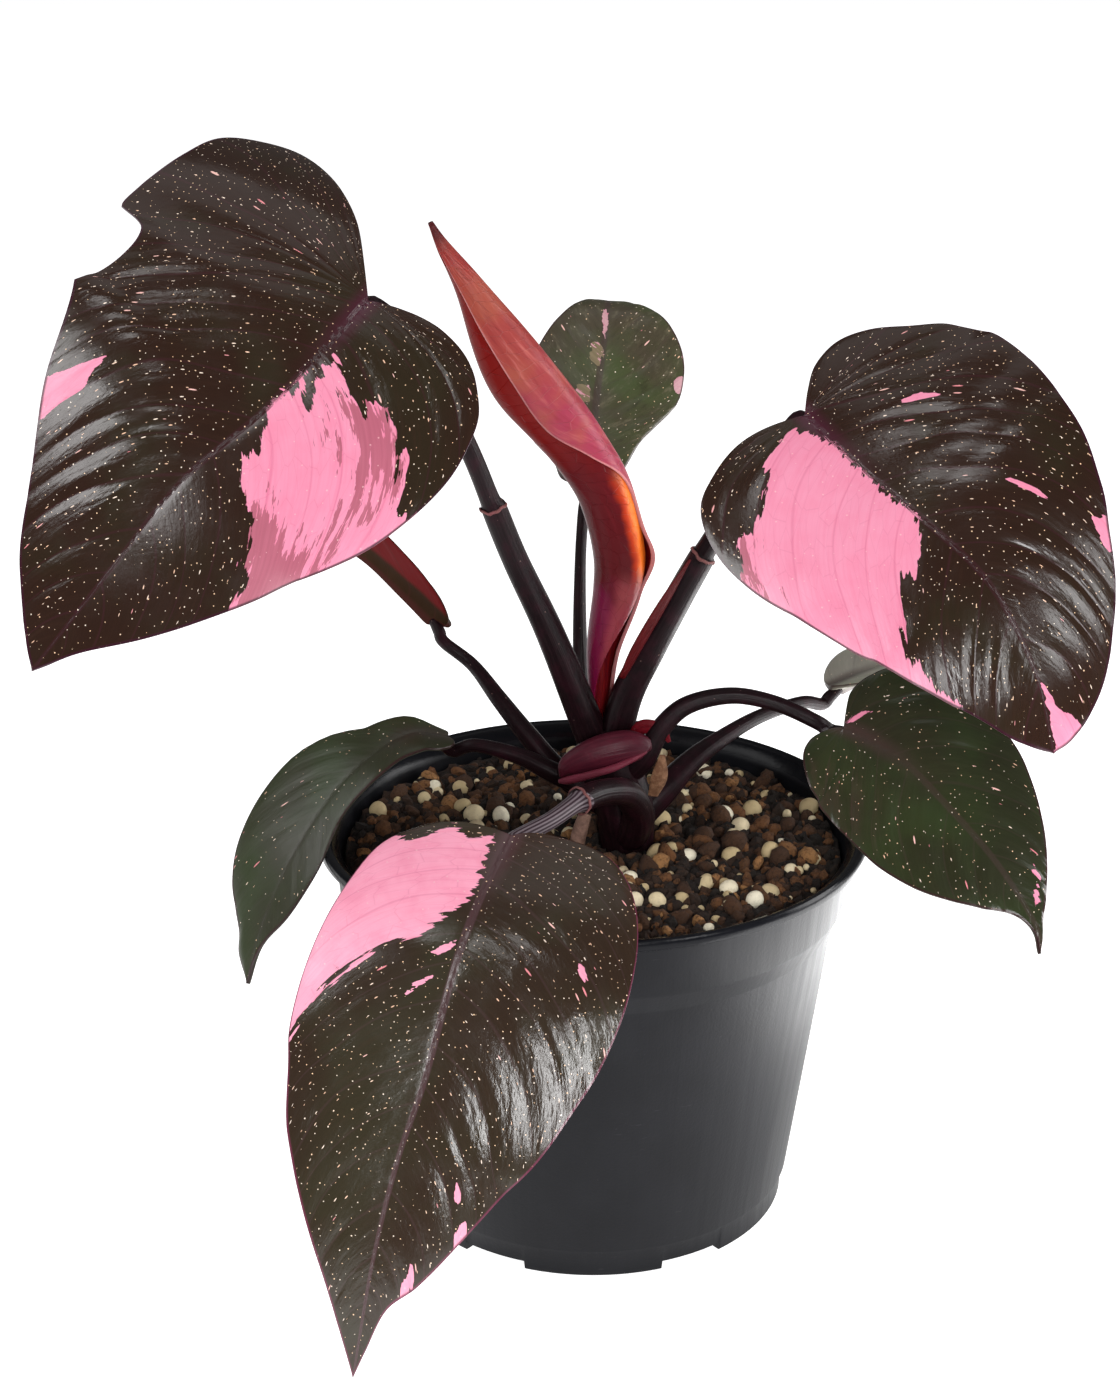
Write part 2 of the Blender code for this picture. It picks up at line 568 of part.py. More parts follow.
def tube(name, points, colour, parent=None, sides=PETIOLE_SIDES, samples=None, flat=1.0,
         flat_axis=(0, 0, 1)):
    """A closed tube through (x, y, z, radius). flat under 1 thins it along flat_axis."""
    curve = smooth_run(points, 10)
    path = spaced(curve, samples or round(1.5 * len(points)) + 1)
    corners = []
    side = np.array(flat_axis, float)
    for i, row in enumerate(path):
        ahead = path[min(i + 1, len(path) - 1)][:3]
        behind = path[max(i - 1, 0)][:3]
        tangent = unit(ahead - behind)
        side = unit(side - tangent * (side @ tangent))
        other = np.cross(tangent, side)
        for k in range(sides):
            turn = 2 * math.pi * (k + 0.5) / sides
            reach = row[3] * (side * math.cos(turn) * flat + other * math.sin(turn))
            corners.append(row[:3] + reach)
    faces = []
    for i in range(len(path) - 1):
        for k in range(sides):
            a, b = i * sides + k, i * sides + (k + 1) % sides
            faces.append((a, b, b + sides, a + sides))
    faces.append(tuple(range(sides)))
    faces.append(tuple(range(len(corners) - sides, len(corners))))
    return add_mesh(name, corners, faces, colour, parent)


def build_stems(parent):
    """The short stem with the petioles that grow from it."""
    crown = tube("crown_and_petioles", STEM, "petiole", parent, sides=12)
    petioles = []
    for name, points in PETIOLES.items():
        leaf = LEAVES[name]
        radius = leaf["petiole_radius"]
        middle, tangent, _, up = Blade(leaf).frame(0.0)
        end = middle - up * (BLADE_THICKNESS / 2 + GAP + radius) - tangent * GAP
        before = end - tangent * 2.4 - up * 0.9
        run = points + [(*before, radius), (*end, radius)]
        petioles.append(tube("petiole_" + name, run, "petiole"))
    join(crown, petioles)
    return crown


def build_new_leaf(parent):
    """The youngest leaf: one sheet rolled round itself, open along its free margin."""
    rows = smooth_run([(*p, r, a, b) for p, r, a, b in ROLL], 10)
    rows = spaced(rows, ROLL_STATIONS)
    side = np.array((1.0, 0.0, 0.0))
    points = []
    for i, row in enumerate(rows):
        ahead = rows[min(i + 1, len(rows) - 1)][:3]
        behind = rows[max(i - 1, 0)][:3]
        tangent = unit(ahead - behind)
        right = unit(side - tangent * (side @ tangent))
        front = unit(np.cross(right, tangent))
        radius, start, end = row[3:6]
        thick = min(ROLL_THICKNESS, radius * 0.8)
        for k in range(ROLL_STEPS + 1):
            share = k / ROLL_STEPS
            turn = 2 * math.pi * (start + (end - start) * share)
            inward = ROLL_PITCH * max(0.0, abs(end - start) - 0.75) * share
            out = right * math.cos(turn) + front * math.sin(turn)
            for offset in (0.0, thick):
                points.append(row[:3] + out * (radius - inward - offset))
    faces = []
    width = 2 * (ROLL_STEPS + 1)
    for i in range(len(rows) - 1):
        for k in range(ROLL_STEPS):
            for layer in (0, 1):
                a = i * width + 2 * k + layer
                b, c, d = a + 2, a + 2 + width, a + width
                faces.append((a, b, c))
                faces.append((a, c, d))
        for k in (0, ROLL_STEPS):
            a = i * width + 2 * k
            faces.append((a, a + 1, a + 1 + width))
            faces.append((a, a + 1 + width, a + width))
    for i in (0, len(rows) - 1):
        for k in range(ROLL_STEPS):
            a = i * width + 2 * k
            faces.append((a, a + 1, a + 3))
            faces.append((a, a + 3, a + 2))
    return add_mesh("new_leaf", points, faces, "new_leaf", parent)


def build_small_parts(parent):
    """Bracts and remains round the crown."""
    tube("crown_bract", [(-6.6, -8.2, 96.7, 0.8), (-4.8, -8.4, 99.3, 2.4), (0.4, -8.0, 101.5, 3.6),
                         (6.2, -7.4, 102.7, 3.7), (10.0, -6.6, 102.7, 2.4), (11.6, -6.2, 102.1, 0.9)],
         "bract", parent, sides=10, flat=0.75, flat_axis=(0, 1, 0))
    tube("petiole_sheath", [(5.6, -5.4, 117.0, 1.2), (8.4, -6.6, 124.0, 1.9), (13.4, -8.4, 134.0, 1.5),
                            (18.6, -9.9, 143.4, 0.5)],
         "red_sheath", parent, flat=0.3, flat_axis=(0.5, -0.8, 0.1))
    tube("dry_sheath", [(12.2, -4.6, 91.0, 1.1), (13.4, -5.2, 95.4, 1.8), (14.0, -4.9, 100.1, 0.7)],
         "dry_sheath", parent, flat=0.35, flat_axis=(0.3, -1, 0))
    tube("aerial_root", AERIAL_ROOT, "root", parent)


def main():
    clear_scene()
    rng = random.Random(SEED)
    holder = bpy.data.objects.new("plant_in_pot", None)
    bpy.context.collection.objects.link(holder)
    pot = build_pot()
    pot.parent = holder
    build_soil(holder, rng)
    build_stems(holder)
    for name, leaf in LEAVES.items():
        green = name in ("leaf_right", "leaf_left", "leaf_back", "leaf_back_right")
        colour = "leaf_green" if green else "leaf_dark"
        if name == "leaf_back_left":
            colour = "leaf_brown"
        build_leaf(name, leaf, colour, holder)
    build_new_leaf(holder)
    build_small_parts(holder)


main()
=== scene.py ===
"""Finished look of the pink princess philodendron in its nursery pot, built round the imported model.

Sizes are millimetres until a mesh is made. X points right, Y away from the camera, Z up.
"""

import math

import bmesh
import bpy
import numpy as np
from mathutils import Matrix


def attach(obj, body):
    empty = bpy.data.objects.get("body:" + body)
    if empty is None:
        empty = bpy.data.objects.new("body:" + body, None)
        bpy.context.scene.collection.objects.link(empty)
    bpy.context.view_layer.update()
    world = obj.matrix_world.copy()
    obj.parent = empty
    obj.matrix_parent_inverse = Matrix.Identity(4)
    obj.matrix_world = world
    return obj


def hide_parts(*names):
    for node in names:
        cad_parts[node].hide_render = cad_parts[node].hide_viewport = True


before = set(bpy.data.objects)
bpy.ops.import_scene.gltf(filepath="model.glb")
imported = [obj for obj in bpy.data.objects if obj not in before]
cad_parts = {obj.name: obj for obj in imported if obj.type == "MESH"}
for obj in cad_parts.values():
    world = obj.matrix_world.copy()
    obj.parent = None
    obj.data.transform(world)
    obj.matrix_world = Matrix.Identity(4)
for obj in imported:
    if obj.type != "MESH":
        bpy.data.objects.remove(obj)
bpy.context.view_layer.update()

MM = 0.001

# Camera
CAMERA_AT = (-6.8, -493.0, 301.0)
CAMERA_PITCH_DEG = 21.16
CAMERA_LENS = 66.857

# Floor and lights, in metres and watts. Along its own y, which starts at FLOOR_MIDDLE, the floor
# is grey up to FLOOR_DARK, in front of the plant and round the camera, and white from FLOOR_BRIGHT.
FLOOR_SIZE = 12.0
FLOOR_MIDDLE = (0, 3.0, 0)
FLOOR_DARK = -3.40
FLOOR_BRIGHT = -3.18
FLOOR_GLOW = 0.90
WORLD_STRENGTH = 0.08

# Place, aim, width and height, power
LIGHTS = {
    "overhead": ((0.0, 0.55, 1.40), (0, 0.05, 0.1), (1.0, 0.7), 1.0),
    "high_panel": ((-0.125, -0.256, 1.30), (-0.05, -0.03, 0.15), (0.20, 0.20), 0.6),
    "left_panel": ((-0.56, -0.52, 0.90), (0, -0.02, 0.12), (0.36, 0.42), 3.6),
    "front_panel": ((0.120, -1.055, 0.400), (0, -0.02, 0.12), (0.24, 0.50), 6.4),
    "right_panel": ((0.661, -0.817, 0.560), (0, -0.02, 0.12), (0.30, 0.30), 2.3),
    "right_side": ((1.05, 0.16, 0.35), (0, 0, 0.08), (0.50, 0.60), 8.0),
    "floor_glow": ((0.185, 0.02, 0.002), (0.185, 0.021, 1.0), (0.20, 0.30), 1.0),
    "side_panel": ((-0.888, -0.07, 0.765), (0, -0.02, 0.12), (0.60, 0.60), 2.6),
}

# Pot
RIM_RADIUS = 57.0
RIM_TOP = 83.6
RIM_HEIGHT = 2.4
RIM_LEDGE = 2.2
COLLAR_RADIUS = 53.6
SHOULDER_RADIUS = 50.3
SHOULDER_TOP = 69.3
SHOULDER_FOOT = 65.0
FOOT_RADIUS = 41.0
FOOT_RING_TOP = 5.9
FOOT_RING_WIDTH = 2.4
WALL = 1.3
FLOOR_UNDERSIDE = 3.0
FLOOR_TOP = 5.0
PAD_RADIUS = 8.0
POT_SIDES = 180
NOTCH_COUNT = 6
NOTCH_WIDTH = 14.0
NOTCH_HEIGHT = 2.0
POT_SHARP_DEG = 40

# Soil
SOIL_TOP = 79.0
SOIL_RADIUS = 51.6
SOIL_RINGS = 90
SOIL_SIDES = 200
SOIL_GRIT = 0.16
HOLE_DROP = 8.0
EDGE_DROP = 3.0
STEM_HOLE = 5.4
STEM_CLEAR = 6.0
GRAIN_EDGE = 51.2
GRAIN_KINDS = 14
STEM_CENTRE = (7.0, -1.25)
SEED = 11
FLAT_SHADED = "peat_crumbs"
# Loose grain by piece: the look, how many, their radii, and their shape and seat
GRAIN = {
    "peat_crumbs": ("peat", 2400, (0.5, 1.7), {
        "subdivisions": 1, "rough": 0.5, "stretch": (1.2, 1.0, 0.8), "sink": 0.1}),
    "bark_chips": ("bark", 360, (0.7, 2.1), {
        "subdivisions": 2, "rough": 0.85, "stretch": (1.25, 1.0, 0.75), "sink": 0.22}),
    "perlite_beads": ("perlite", 80, (1.3, 2.3), {
        "subdivisions": 3, "rough": 0.14, "stretch": (1.0, 1.0, 0.9), "sink": 0.45, "clear": 1.0}),
    "perlite_grains": ("perlite", 90, (0.5, 1.2), {
        "subdivisions": 3, "rough": 0.14, "stretch": (1.0, 1.0, 0.9), "sink": 0.45, "clear": 1.0}),
}
# Three colours from dark to light, roughness, relief, size of the mottle, dirt
GRAIN_LOOKS = {
    "peat": ([(0.008, 0.0042, 0.0022), (0.027, 0.0118, 0.0052), (0.110, 0.046, 0.016)],
             0.95, 0.5, 1.2, 0.6),
    "bark": ([(0.055, 0.022, 0.008), (0.165, 0.066, 0.021), (0.370, 0.180, 0.064)],
             0.9, 0.9, 1.6, 0.6),
    "perlite": ([(0.50, 0.39, 0.21), (0.70, 0.59, 0.37), (0.86, 0.80, 0.62)],
                0.75, 0.16, 1.3, 0.18),
}

# Foliage
BLADE_THICKNESS = 0.9
BLADE_FAN = 90
BLADE_BODY = 120
BLADE_COLUMNS = 40
MIDRIB_DEPTH = 1.9
MIDRIB_WIDTH = 1.15
MIDRIB_GROOVE = 0.10
VEIN_COT_AT_BASE = 0.5
VEIN_COT_GAIN = 1.5
VEIN_BOW = 0.31
VEIN_SPACING = 8.2
QUILT_HEIGHT = 0.42
SWELL_HEIGHT = 0.35
COLLAR_THICK = 0.22
LEAF_SHARP_DEG = 50

# Each leaf: its midrib in space, the way its face looks at the base and at the tip, and for its
# left and right half the fold, the bend and the outline as (along the midrib, across it). A calm
# zone is (side, -1 for left, where along the midrib the relief is least, where it is full, its
# least share).
LEAVES = {
    "leaf_upper_left": {
        "midrib": [(-42, -22, 197), (-49, -33, 191), (-60, -44, 181.5), (-73, -53, 172),
                   (-86, -59, 157), (-100, -63, 140)],
        "face": [(0.05, -0.80, 0.60), (-0.25, -0.90, 0.20)],
        "fold": (0.10, 0.10), "bend": (0.35, 0.35), "lobe": 1.0,
        "left": [(-6, -4.7), (-17.8, -13.3), (-28.5, -24.7), (-33, -34.4), (-29.5, -41.4),
                 (-22.9, -46.6), (-11.5, -47.8), (-1, -48.6), (4.6, -49.2), (7.8, -48.8),
                 (7.8, -48.8), (11.4, -44), (16.5, -41), (24.2, -40.3), (33.4, -41),
                 (40, -42), (40, -42), (45, -37.8), (51, -33), (63, -24.3), (77.5, -16),
                 (85.6, -9.2), (91, -3.9)],
        "right": [(-1, 3.2), (-2.3, 7.8), (-2.8, 13.8), (0, 21.5), (6, 27), (11.6, 30.8), (21, 33),
                  (32, 32.2), (42.8, 29.3), (54, 26.2), (62.5, 22.4), (76, 13.1), (86, 5),
                  (92, 1.4)],
        "calm": ((-1, 12, 34, 0.4), (1, 40, 18, 0.1)), "petiole_radius": 1.9,
    },
    "leaf_upper_right": {
        "midrib": [(39.5, -15, 173.5), (44.5, -22, 170), (51, -29, 165.5), (58, -36, 161),
                   (70.5, -46, 151), (79, -52, 136), (83, -55, 121)],
        "face": [(0.0, -0.80, 0.60), (0.30, -0.90, 0.20)],
        "fold": (0.10, 0.10), "bend": (0.35, 0.35), "lobe": 1.0,
        "left": [(-0.3, -3.3), (-2.3, -7.8), (-2.6, -13.8), (-0.4, -20.4), (3.4, -26.2),
                 (8, -29.7), (13.3, -31.4), (20, -31.6), (27.2, -30.6), (34.7, -28.8),
                 (47.3, -26.6), (58.2, -23), (69.4, -16.1), (77.5, -9.2), (81.2, -4.4)],
        "right": [(-5, 4.5), (-9.1, 9.3), (-11, 15.9), (-8.8, 22.2), (-4, 28.1), (0.5, 34),
                  (6.8, 37.8), (18, 38.9), (28.6, 37.4), (40, 34), (47.5, 29.2), (53.4, 24.8),
                  (61.5, 20.4), (68.3, 16), (75, 11.3), (79.6, 7.4), (82.6, 3.6)],
        "calm": ((-1, 38, 52, 0.4), (1, 38, 54, 0.5)), "petiole_radius": 1.9,
    },
    "leaf_front": {
        "midrib": [(-16, -45, 100), (-21.5, -60, 94), (-26, -72, 85.5), (-31, -82, 69),
                   (-36, -87, 55), (-40.5, -92, 37.5), (-44.5, -96, 15)],
        "face": [(0.0, -0.45, 0.90), (-0.05, -0.95, 0.10)],
        "fold": (0.06, 0.06), "bend": (0.35, 0.35), "lobe": 0.5,
        "left": [(0.8, -2.9), (0.4, -8), (1.6, -13.8), (5.3, -18.4), (10.9, -22.2), (20, -24.4),
                 (31, -26), (42.6, -26.8), (53.5, -26), (64.7, -22.6), (73.5, -18.4),
                 (83, -13.3), (92.5, -8), (101.5, -3.8)],
        "right": [(-2, 4), (-2.6, 8.8), (-2.1, 16), (0.7, 21.8), (7.3, 27), (17.5, 30.5),
                  (31, 31.7), (43.5, 30), (54, 26), (67, 20.8), (80, 14.7), (90, 9), (96, 4),
                  (104.5, 1.5)],
        "petiole_radius": 1.7, "quilt": 0.7, "calm": ((-1, 40, 62, 0.2), (1, 14, 28, 0.2)),
    },
    "leaf_right": {
        "midrib": [(50.5, -5, 106), (55, -7, 104.5), (62, -11, 101), (68, -15, 96),
                   (79, -24, 85.5), (86.5, -31, 75), (87.5, -34.5, 70)],
        "face": [(0.10, -0.65, 0.75), (0.45, -0.85, 0.30)],
        "fold": (0.08, 0.08), "bend": (0.40, 0.40), "lobe": 0.8,
        "left": [(-2.4, -1.6), (-4.8, -5.7), (-4.1, -10.6), (1.2, -16.8), (8.5, -19.6),
                 (16, -20.6), (28, -20), (39, -15.8), (47, -9), (51.5, -3.6), (55.5, -1.2)],
        "right": [(-0.8, 3.3), (-2.2, 8), (-0.5, 13.5), (4.5, 18.5), (13, 21.8), (25, 20.9),
                  (34.5, 17), (44.5, 10.8), (52, 5), (56, 1.8)],
        "petiole_radius": 1.5, "bow": 0.8,
    },
    "leaf_left": {
        "midrib": [(-30, 5, 100), (-37.3, 1.5, 102), (-45.3, -3.5, 99), (-53.2, -8, 92),
                   (-61, -14, 81), (-67.2, -19, 67.5), (-70, -23, 57.5)],
        "face": [(-0.30, -0.35, 0.90), (-0.70, -0.65, 0.20)],
        "fold": (0.05, 0.05), "bend": (0.50, 0.70), "lobe": 0.6,
        "left": [(-0.3, -2), (3.5, -3.8), (7.2, -6.4), (11, -7.6), (15, -8.6), (18.5, -11.6),
                 (23, -14.4), (29, -17.2), (37.8, -18.2), (47.7, -16.9), (54.5, -13.7), (59, -9.3),
                 (62.5, -6), (66.4, -4.4)],
        "right": [(-0.5, 2.8), (3.5, 5.4), (10, 6.6), (15, 6), (21, 6), (32, 5.9), (43.7, 7.9),
                  (54.6, 6.1), (61.8, 2.4), (66.4, 0.6)],
        "petiole_radius": 1.4, "bow": 0.5, "quilt": 0.3,
    },
    "leaf_back": {
        "midrib": [(-1, 32, 147.5), (0, 38, 152.5), (1, 48, 160.5), (2.5, 58, 169),
                   (3.5, 67, 175.5), (4, 77, 174.5), (4, 84, 166)],
        "face": [(0.0, -0.75, 0.65), (0.10, 0.45, 0.90)],
        "fold": (0.05, 0.05), "bend": (1.20, 1.20), "lobe": 0.5,
        "left": [(-1.5, -2.5), (-0.5, -5.6), (4.6, -7.6), (11, -10.1), (17, -13.9), (23.4, -17.2),
                 (30.2, -18), (36.5, -17.2), (43.7, -13.9), (51, -9), (58, -4)],
        "right": [(-1.5, 2.5), (-0.5, 5.6), (2.8, 7.4), (5.7, 9.8), (9.1, 12.4), (12.4, 14.4),
                  (16, 16.2),
                  (21, 17), (27, 16.2), (34, 14.2), (40, 11.6), (46, 8), (53, 4.6), (59, 2.4)],
        "petiole_radius": 1.2, "bow": 0.45,
    },
    "leaf_back_right": {
        "midrib": [(52, 38, 98.5), (60, 43, 100), (70, 50, 100), (80, 57, 96), (88, 62, 89)],
        "face": [(-0.10, 0.10, 1.0), (0.25, 0.15, 0.95)],
        "fold": (0.12, 0.06), "bend": (0.30, 0.30), "lobe": 0.5,
        "left": [(0.3, -1.6), (2, -4.6), (6, -9), (12, -12.8), (19, -14.6), (27, -12), (35, -7),
                 (42, -3)],
        "right": [(0.3, 1.6), (2, 4.6), (6, 9), (12, 12.8), (19, 14.6), (27, 12), (35, 7),
                  (42, 3)],
        "petiole_radius": 1.4, "bow": 0.4,
    },
    "leaf_back_left": {
        "midrib": [(-30.9, 22.4, 118.6), (-39, 28, 124.5), (-48, 35, 130), (-58, 41, 133),
                   (-68, 46, 132), (-76, 50, 128)],
        "face": [(0.60, 0.45, 0.65), (0.55, 0.45, 0.70)],
        "fold": (0.35, 0.35), "bend": (0.30, 0.30), "lobe": 0.0,
        "left": [(-0.5, -2), (2, -5.5), (8, -9.2), (18, -12), (28, -12), (38, -8.5), (46, -3.6)],
        "right": [(-0.5, 2), (2, 5.5), (8, 9.2), (18, 12), (28, 12), (38, 8.5), (46, 3.6)],
        "petiole_radius": 1.3, "bow": 0.5,
    },
}

# Where each leaf lacks its dark colour, as outlines of (distance along the midrib, across it).
PINK = {
    "leaf_upper_left": [
        [(15.6, 2.8), (18.1, 2.2), (20.8, 3), (23.5, 4.3), (26.4, 5.7), (24.2, 3.2), (21, 0.6),
         (23.5, 0.5), (26.2, 1.9), (26.3, 0.2), (29.2, 0), (31.9, 1), (35.1, 2.8), (38, 5.2),
         (39.4, 4),
         (41.7, 5.6), (44.2, 7), (45.3, 9.2), (45, 10.4), (46.3, 11.1), (47.2, 14), (49.4, 15),
         (50.8, 17.1), (53.8, 17.7), (56.4, 18.4), (57.2, 21.1), (59.4, 22), (63.7, 21), (65, 25),
         (54.9, 30), (43.6, 33), (33.6, 34.5), (29, 33), (30.5, 29.7), (26.2, 28.2), (26.8, 26.8),
         (24.4, 25.6), (22.3, 24), (22.6, 22.3), (19.5, 19.3), (19.1, 17.7), (17.3, 16.3),
         (17.5, 15.2), (18.8, 13), (20.9, 14.4), (20.3, 10.6), (20.7, 9), (18.3, 6.2)],
        [(45.7, -25.8), (49.8, -28.9), (53.6, -31.5), (56, -31), (59.5, -28), (58.4, -26.8),
         (55.5, -26.3), (51.3, -24.8), (48.9, -25.3)],
    ],
    "leaf_upper_right": [
        [(2, -4), (7, -1), (10, -0.3), (19, -0.4), (25, -1), (29, -0.6), (32, 0), (38, -5),
         (41, -9),
         (38, -10), (43, -15), (49, -19), (54, -20.5), (62, -19.5), (69, -15.5), (69, -19),
         (58, -26),
         (47, -30), (35, -32), (20, -34), (15, -29), (13, -27), (14, -24), (12, -20), (7, -14),
         (5, -13), (3, -7)],
        [(11, 14.8), (12, 18.6), (14.2, 20.3), (16.1, 22.7), (15.9, 20.8), (14.5, 18.3), (13.3, 16),
         (12, 14.1)],
        [(38.3, 15.9), (39.7, 17.1), (42.2, 18.1), (43.8, 18.9), (45.3, 18.7), (43.6, 17.8),
         (41.3, 16.6)],
        [(50.8, 23.4), (52, 27), (57, 24), (55.9, 22.4), (54.5, 22.1), (52.4, 22.6)],
        [(70, 0.4), (75, 2), (76.6, 3.4), (78, 4.8), (80.6, 6.5), (84, 4), (84, 0), (79.7, 0.6),
         (75, 0.4)],
    ],
    "leaf_front": [
        [(2, -3), (8, -2.4), (15, -1.6), (18, -2), (21, -4), (24, -6), (28, -8), (31, -13),
         (33, -15),
         (35, -17), (37, -20), (41, -22), (43, -23), (48, -25.6), (57, -25.6), (53, -30), (43, -31),
         (31, -30), (20, -28), (11, -26), (8.4, -21), (8, -17), (5, -13.6), (2, -10.6), (3.6, -7)],
        [(27, -0.8), (29, -1.8), (30.9, -3.5), (30.9, -5), (28.9, -3.6), (26.5, -1.7)],
        [(33.4, -2.4), (36.2, -4.2), (38.9, -7.4), (36.8, -6.4), (34.7, -4.2)],
        [(24.5, 21.2), (25.6, 22.9), (28.7, 24.4), (27.7, 22.5), (25.6, 21)],
        [(85.8, 7.2), (89.1, 7.9), (92.9, 7.8), (97, 6), (91.9, 5.8), (87.7, 6.6)],
        [(75.3, 14.7), (78.5, 15.6), (82, 13.8), (78, 13.4)],
        [(69, 11.4), (70.9, 12.7), (73.8, 12.6), (71.4, 11.2)],
    ],
    "leaf_right": [
        [(0.0, 1.2), (1.4, 2.0), (3.6, 6.0), (2.2, 5.2)],
        [(45.2, 6.4), (47.6, 6.6), (49.2, 5.6), (46.8, 5.4)],
        [(49.2, 4.6), (52, 3.0), (52.6, 1.6), (50, 3.2)],
    ],
    "leaf_back": [
        [(44.4, 1.0), (44.8, 0), (41.3, -0.5), (36.6, -0.3), (39, 0.6)],
        [(42.1, -15.2), (43.2, -17), (41.1, -17.4), (40.4, -16)],
        [(38.8, -17), (37.4, -18.6), (34, -18.8), (34.5, -17)],
        [(29.4, -16.2), (30.7, -18), (27.8, -18.8), (25.4, -17.4), (26.8, -16.2)],
        [(34.9, 2.5), (35.4, 0.8), (32.3, -0.2), (28.7, 0.4), (30.6, 2.5)],
        [(23.8, 4.3), (23.9, 1.7), (19.7, 1.5), (18.5, 3.4), (21, 4.8)],
    ],
}

# Duller, half-green marbling inside the pink.
DUSK = {
    "leaf_upper_left": [
        [(26.4, 6.8), (27.7, 9.6), (30, 12.4), (28, 11.9), (29.9, 14.8), (31.4, 18), (32.5, 21.4),
         (33.9, 24.1), (34.9, 27.6), (34.3, 29.3), (32.9, 28.7), (31.1, 27), (29.4, 24.3),
         (30.2, 27.4),
         (26.9, 28.4), (23, 27), (19.5, 23), (17.6, 20), (15, 17), (16.5, 12.4), (19, 10),
         (20.5, 9.2),
         (23.8, 10.7), (26.2, 14.1), (28, 17.1), (29.7, 16.9), (28.3, 13.6), (26.5, 10.6)],
        [(43.4, 10.6), (44.2, 14.1), (40.4, 11.5), (40.1, 12.8), (41.8, 15.7), (42.4, 18.7),
         (45, 22.3), (42.8, 21.9), (41, 21.4), (40.5, 22.9), (42, 26.2), (37.8, 23), (35.2, 21),
         (34.1, 21.8), (35.3, 24.3), (38.1, 26.2), (41.7, 27.5), (45.9, 28.4), (50, 33), (60, 28),
         (68, 20), (58, 17), (49, 13), (46.3, 10)],
    ],
    "leaf_upper_right": [[(11, -27), (14, -24.4), (16.5, -25.6), (19, -28.4), (23, -29.6),
                          (28, -31.6),
                          (20, -36)]],
    "leaf_back": [[(36, 4), (36, -1.5), (17, -1.5), (17, 6)]],
}

# Greener ground.
GREEN = {
    "leaf_upper_left": [[(3, -1), (2, 12), (5, 20), (14, 26), (18, 31), (26, 36), (32, 34),
                         (26, 26),
                         (18, 16), (18, 8), (14, 2)]],
    "leaf_front": [[(28, -2), (52, -18), (76, -16), (100, -2), (70, -1), (45, 0)]],
}

STEM_SIDES = 32
STEM_SAMPLES = 60
STEM_KNOTS = (24, 34)
# Rows of (x, y, z, radius), here and in PETIOLES and SMALL_TUBES
STEM = [(7.5, 0, 60, 4.5), (7.2, 0, 78, 5.6), (6, 0, 88, 6.0), (3.5, 0.3, 97, 5.6),
        (1.7, 0.5, 104, 3.2)]

PETIOLES = {
    "leaf_upper_left": [(3.5, 0.5, 92, 3.6), (-2, -0.5, 107, 3.4), (-9, -4, 126.5, 2.9),
                        (-15.5, -8, 142.5, 2.6), (-19.6, -10.5, 154, 2.5), (-20.4, -11, 156, 2.0),
                        (-24, -14, 166.5, 1.9), (-31, -17, 183, 1.9), (-36.5, -17.5, 191, 1.9)],
    "leaf_upper_right": [(3, 1.5, 92, 3.6), (6.2, -1, 110, 3.3), (11.2, -3, 122, 3.0),
                         (17, -5, 134.5, 2.8), (21, -7, 143, 2.6), (22, -7.3, 145, 2.1),
                         (31, -9.5, 161.5, 1.9), (36.5, -10, 168.5, 1.9)],
    "leaf_front": [(7, -1, 80, 3.4), (8.6, -7, 84.5, 3.3), (8.8, -10.5, 90.5, 3.1),
                   (6.2, -15, 96, 2.9),
                   (1.6, -21, 98.8, 2.6), (-2.6, -26, 99.4, 2.6), (-4.4, -28.5, 99.2, 1.9),
                   (-9, -35.5, 98.8, 1.7)],
    "leaf_right": [(4, 0, 92, 3.0), (10, -3, 98, 2.4), (13.6, -3, 105, 2.1), (19, -2.5, 110, 1.9),
                   (28, -2.3, 112, 1.7), (37, -2.8, 110.4, 1.6), (45, -4, 107, 1.5)],
    "leaf_left": [(4, 0.5, 88, 2.6), (-8, 1.5, 93.5, 2.2), (-15, 3, 96.5, 1.8),
                  (-24, 4.5, 98.4, 1.4)],
    "leaf_back": [(0, 3, 90, 2.6), (-2, 9, 104, 1.9), (-2.7, 14, 118, 1.5), (-2.6, 22, 132, 1.2),
                  (-2, 27.5, 141, 1.2)],
    "leaf_back_right": [(6, 1, 80, 3.2), (13.5, 4.5, 87, 3.1), (20.5, 10, 92.5, 2.4),
                        (28, 16.5, 95.6, 1.8), (36, 24, 97.2, 1.5), (45.5, 32, 97.2, 1.4)],
    "leaf_back_left": [(4, 1.5, 85, 2.6), (-6.5, 6, 91.5, 2.4), (-13.5, 10, 98.5, 2.1),
                       (-19.5, 14, 105, 1.8), (-25, 18, 111, 1.4)],
}
PETIOLE_SIDES = 36
PETIOLE_SAMPLES = 130
PETIOLE_GROOVES = 5
PALE_PETIOLE = "leaf_front"
PALE_GROOVES = 7
PALE_BEFORE_Y = -27.2

# Where a sheath ends on its petiole: middle, direction of the petiole, radius.
COLLARS = [
    ((-3.0, -26.6, 99.35), (-0.58, -0.81, -0.06), 2.55),
    ((-19.7, -10.55, 154.3), (-0.32, -0.22, 0.92), 2.45),
    ((21.2, -7.05, 143.3), (0.48, -0.14, 0.87), 2.55),
]

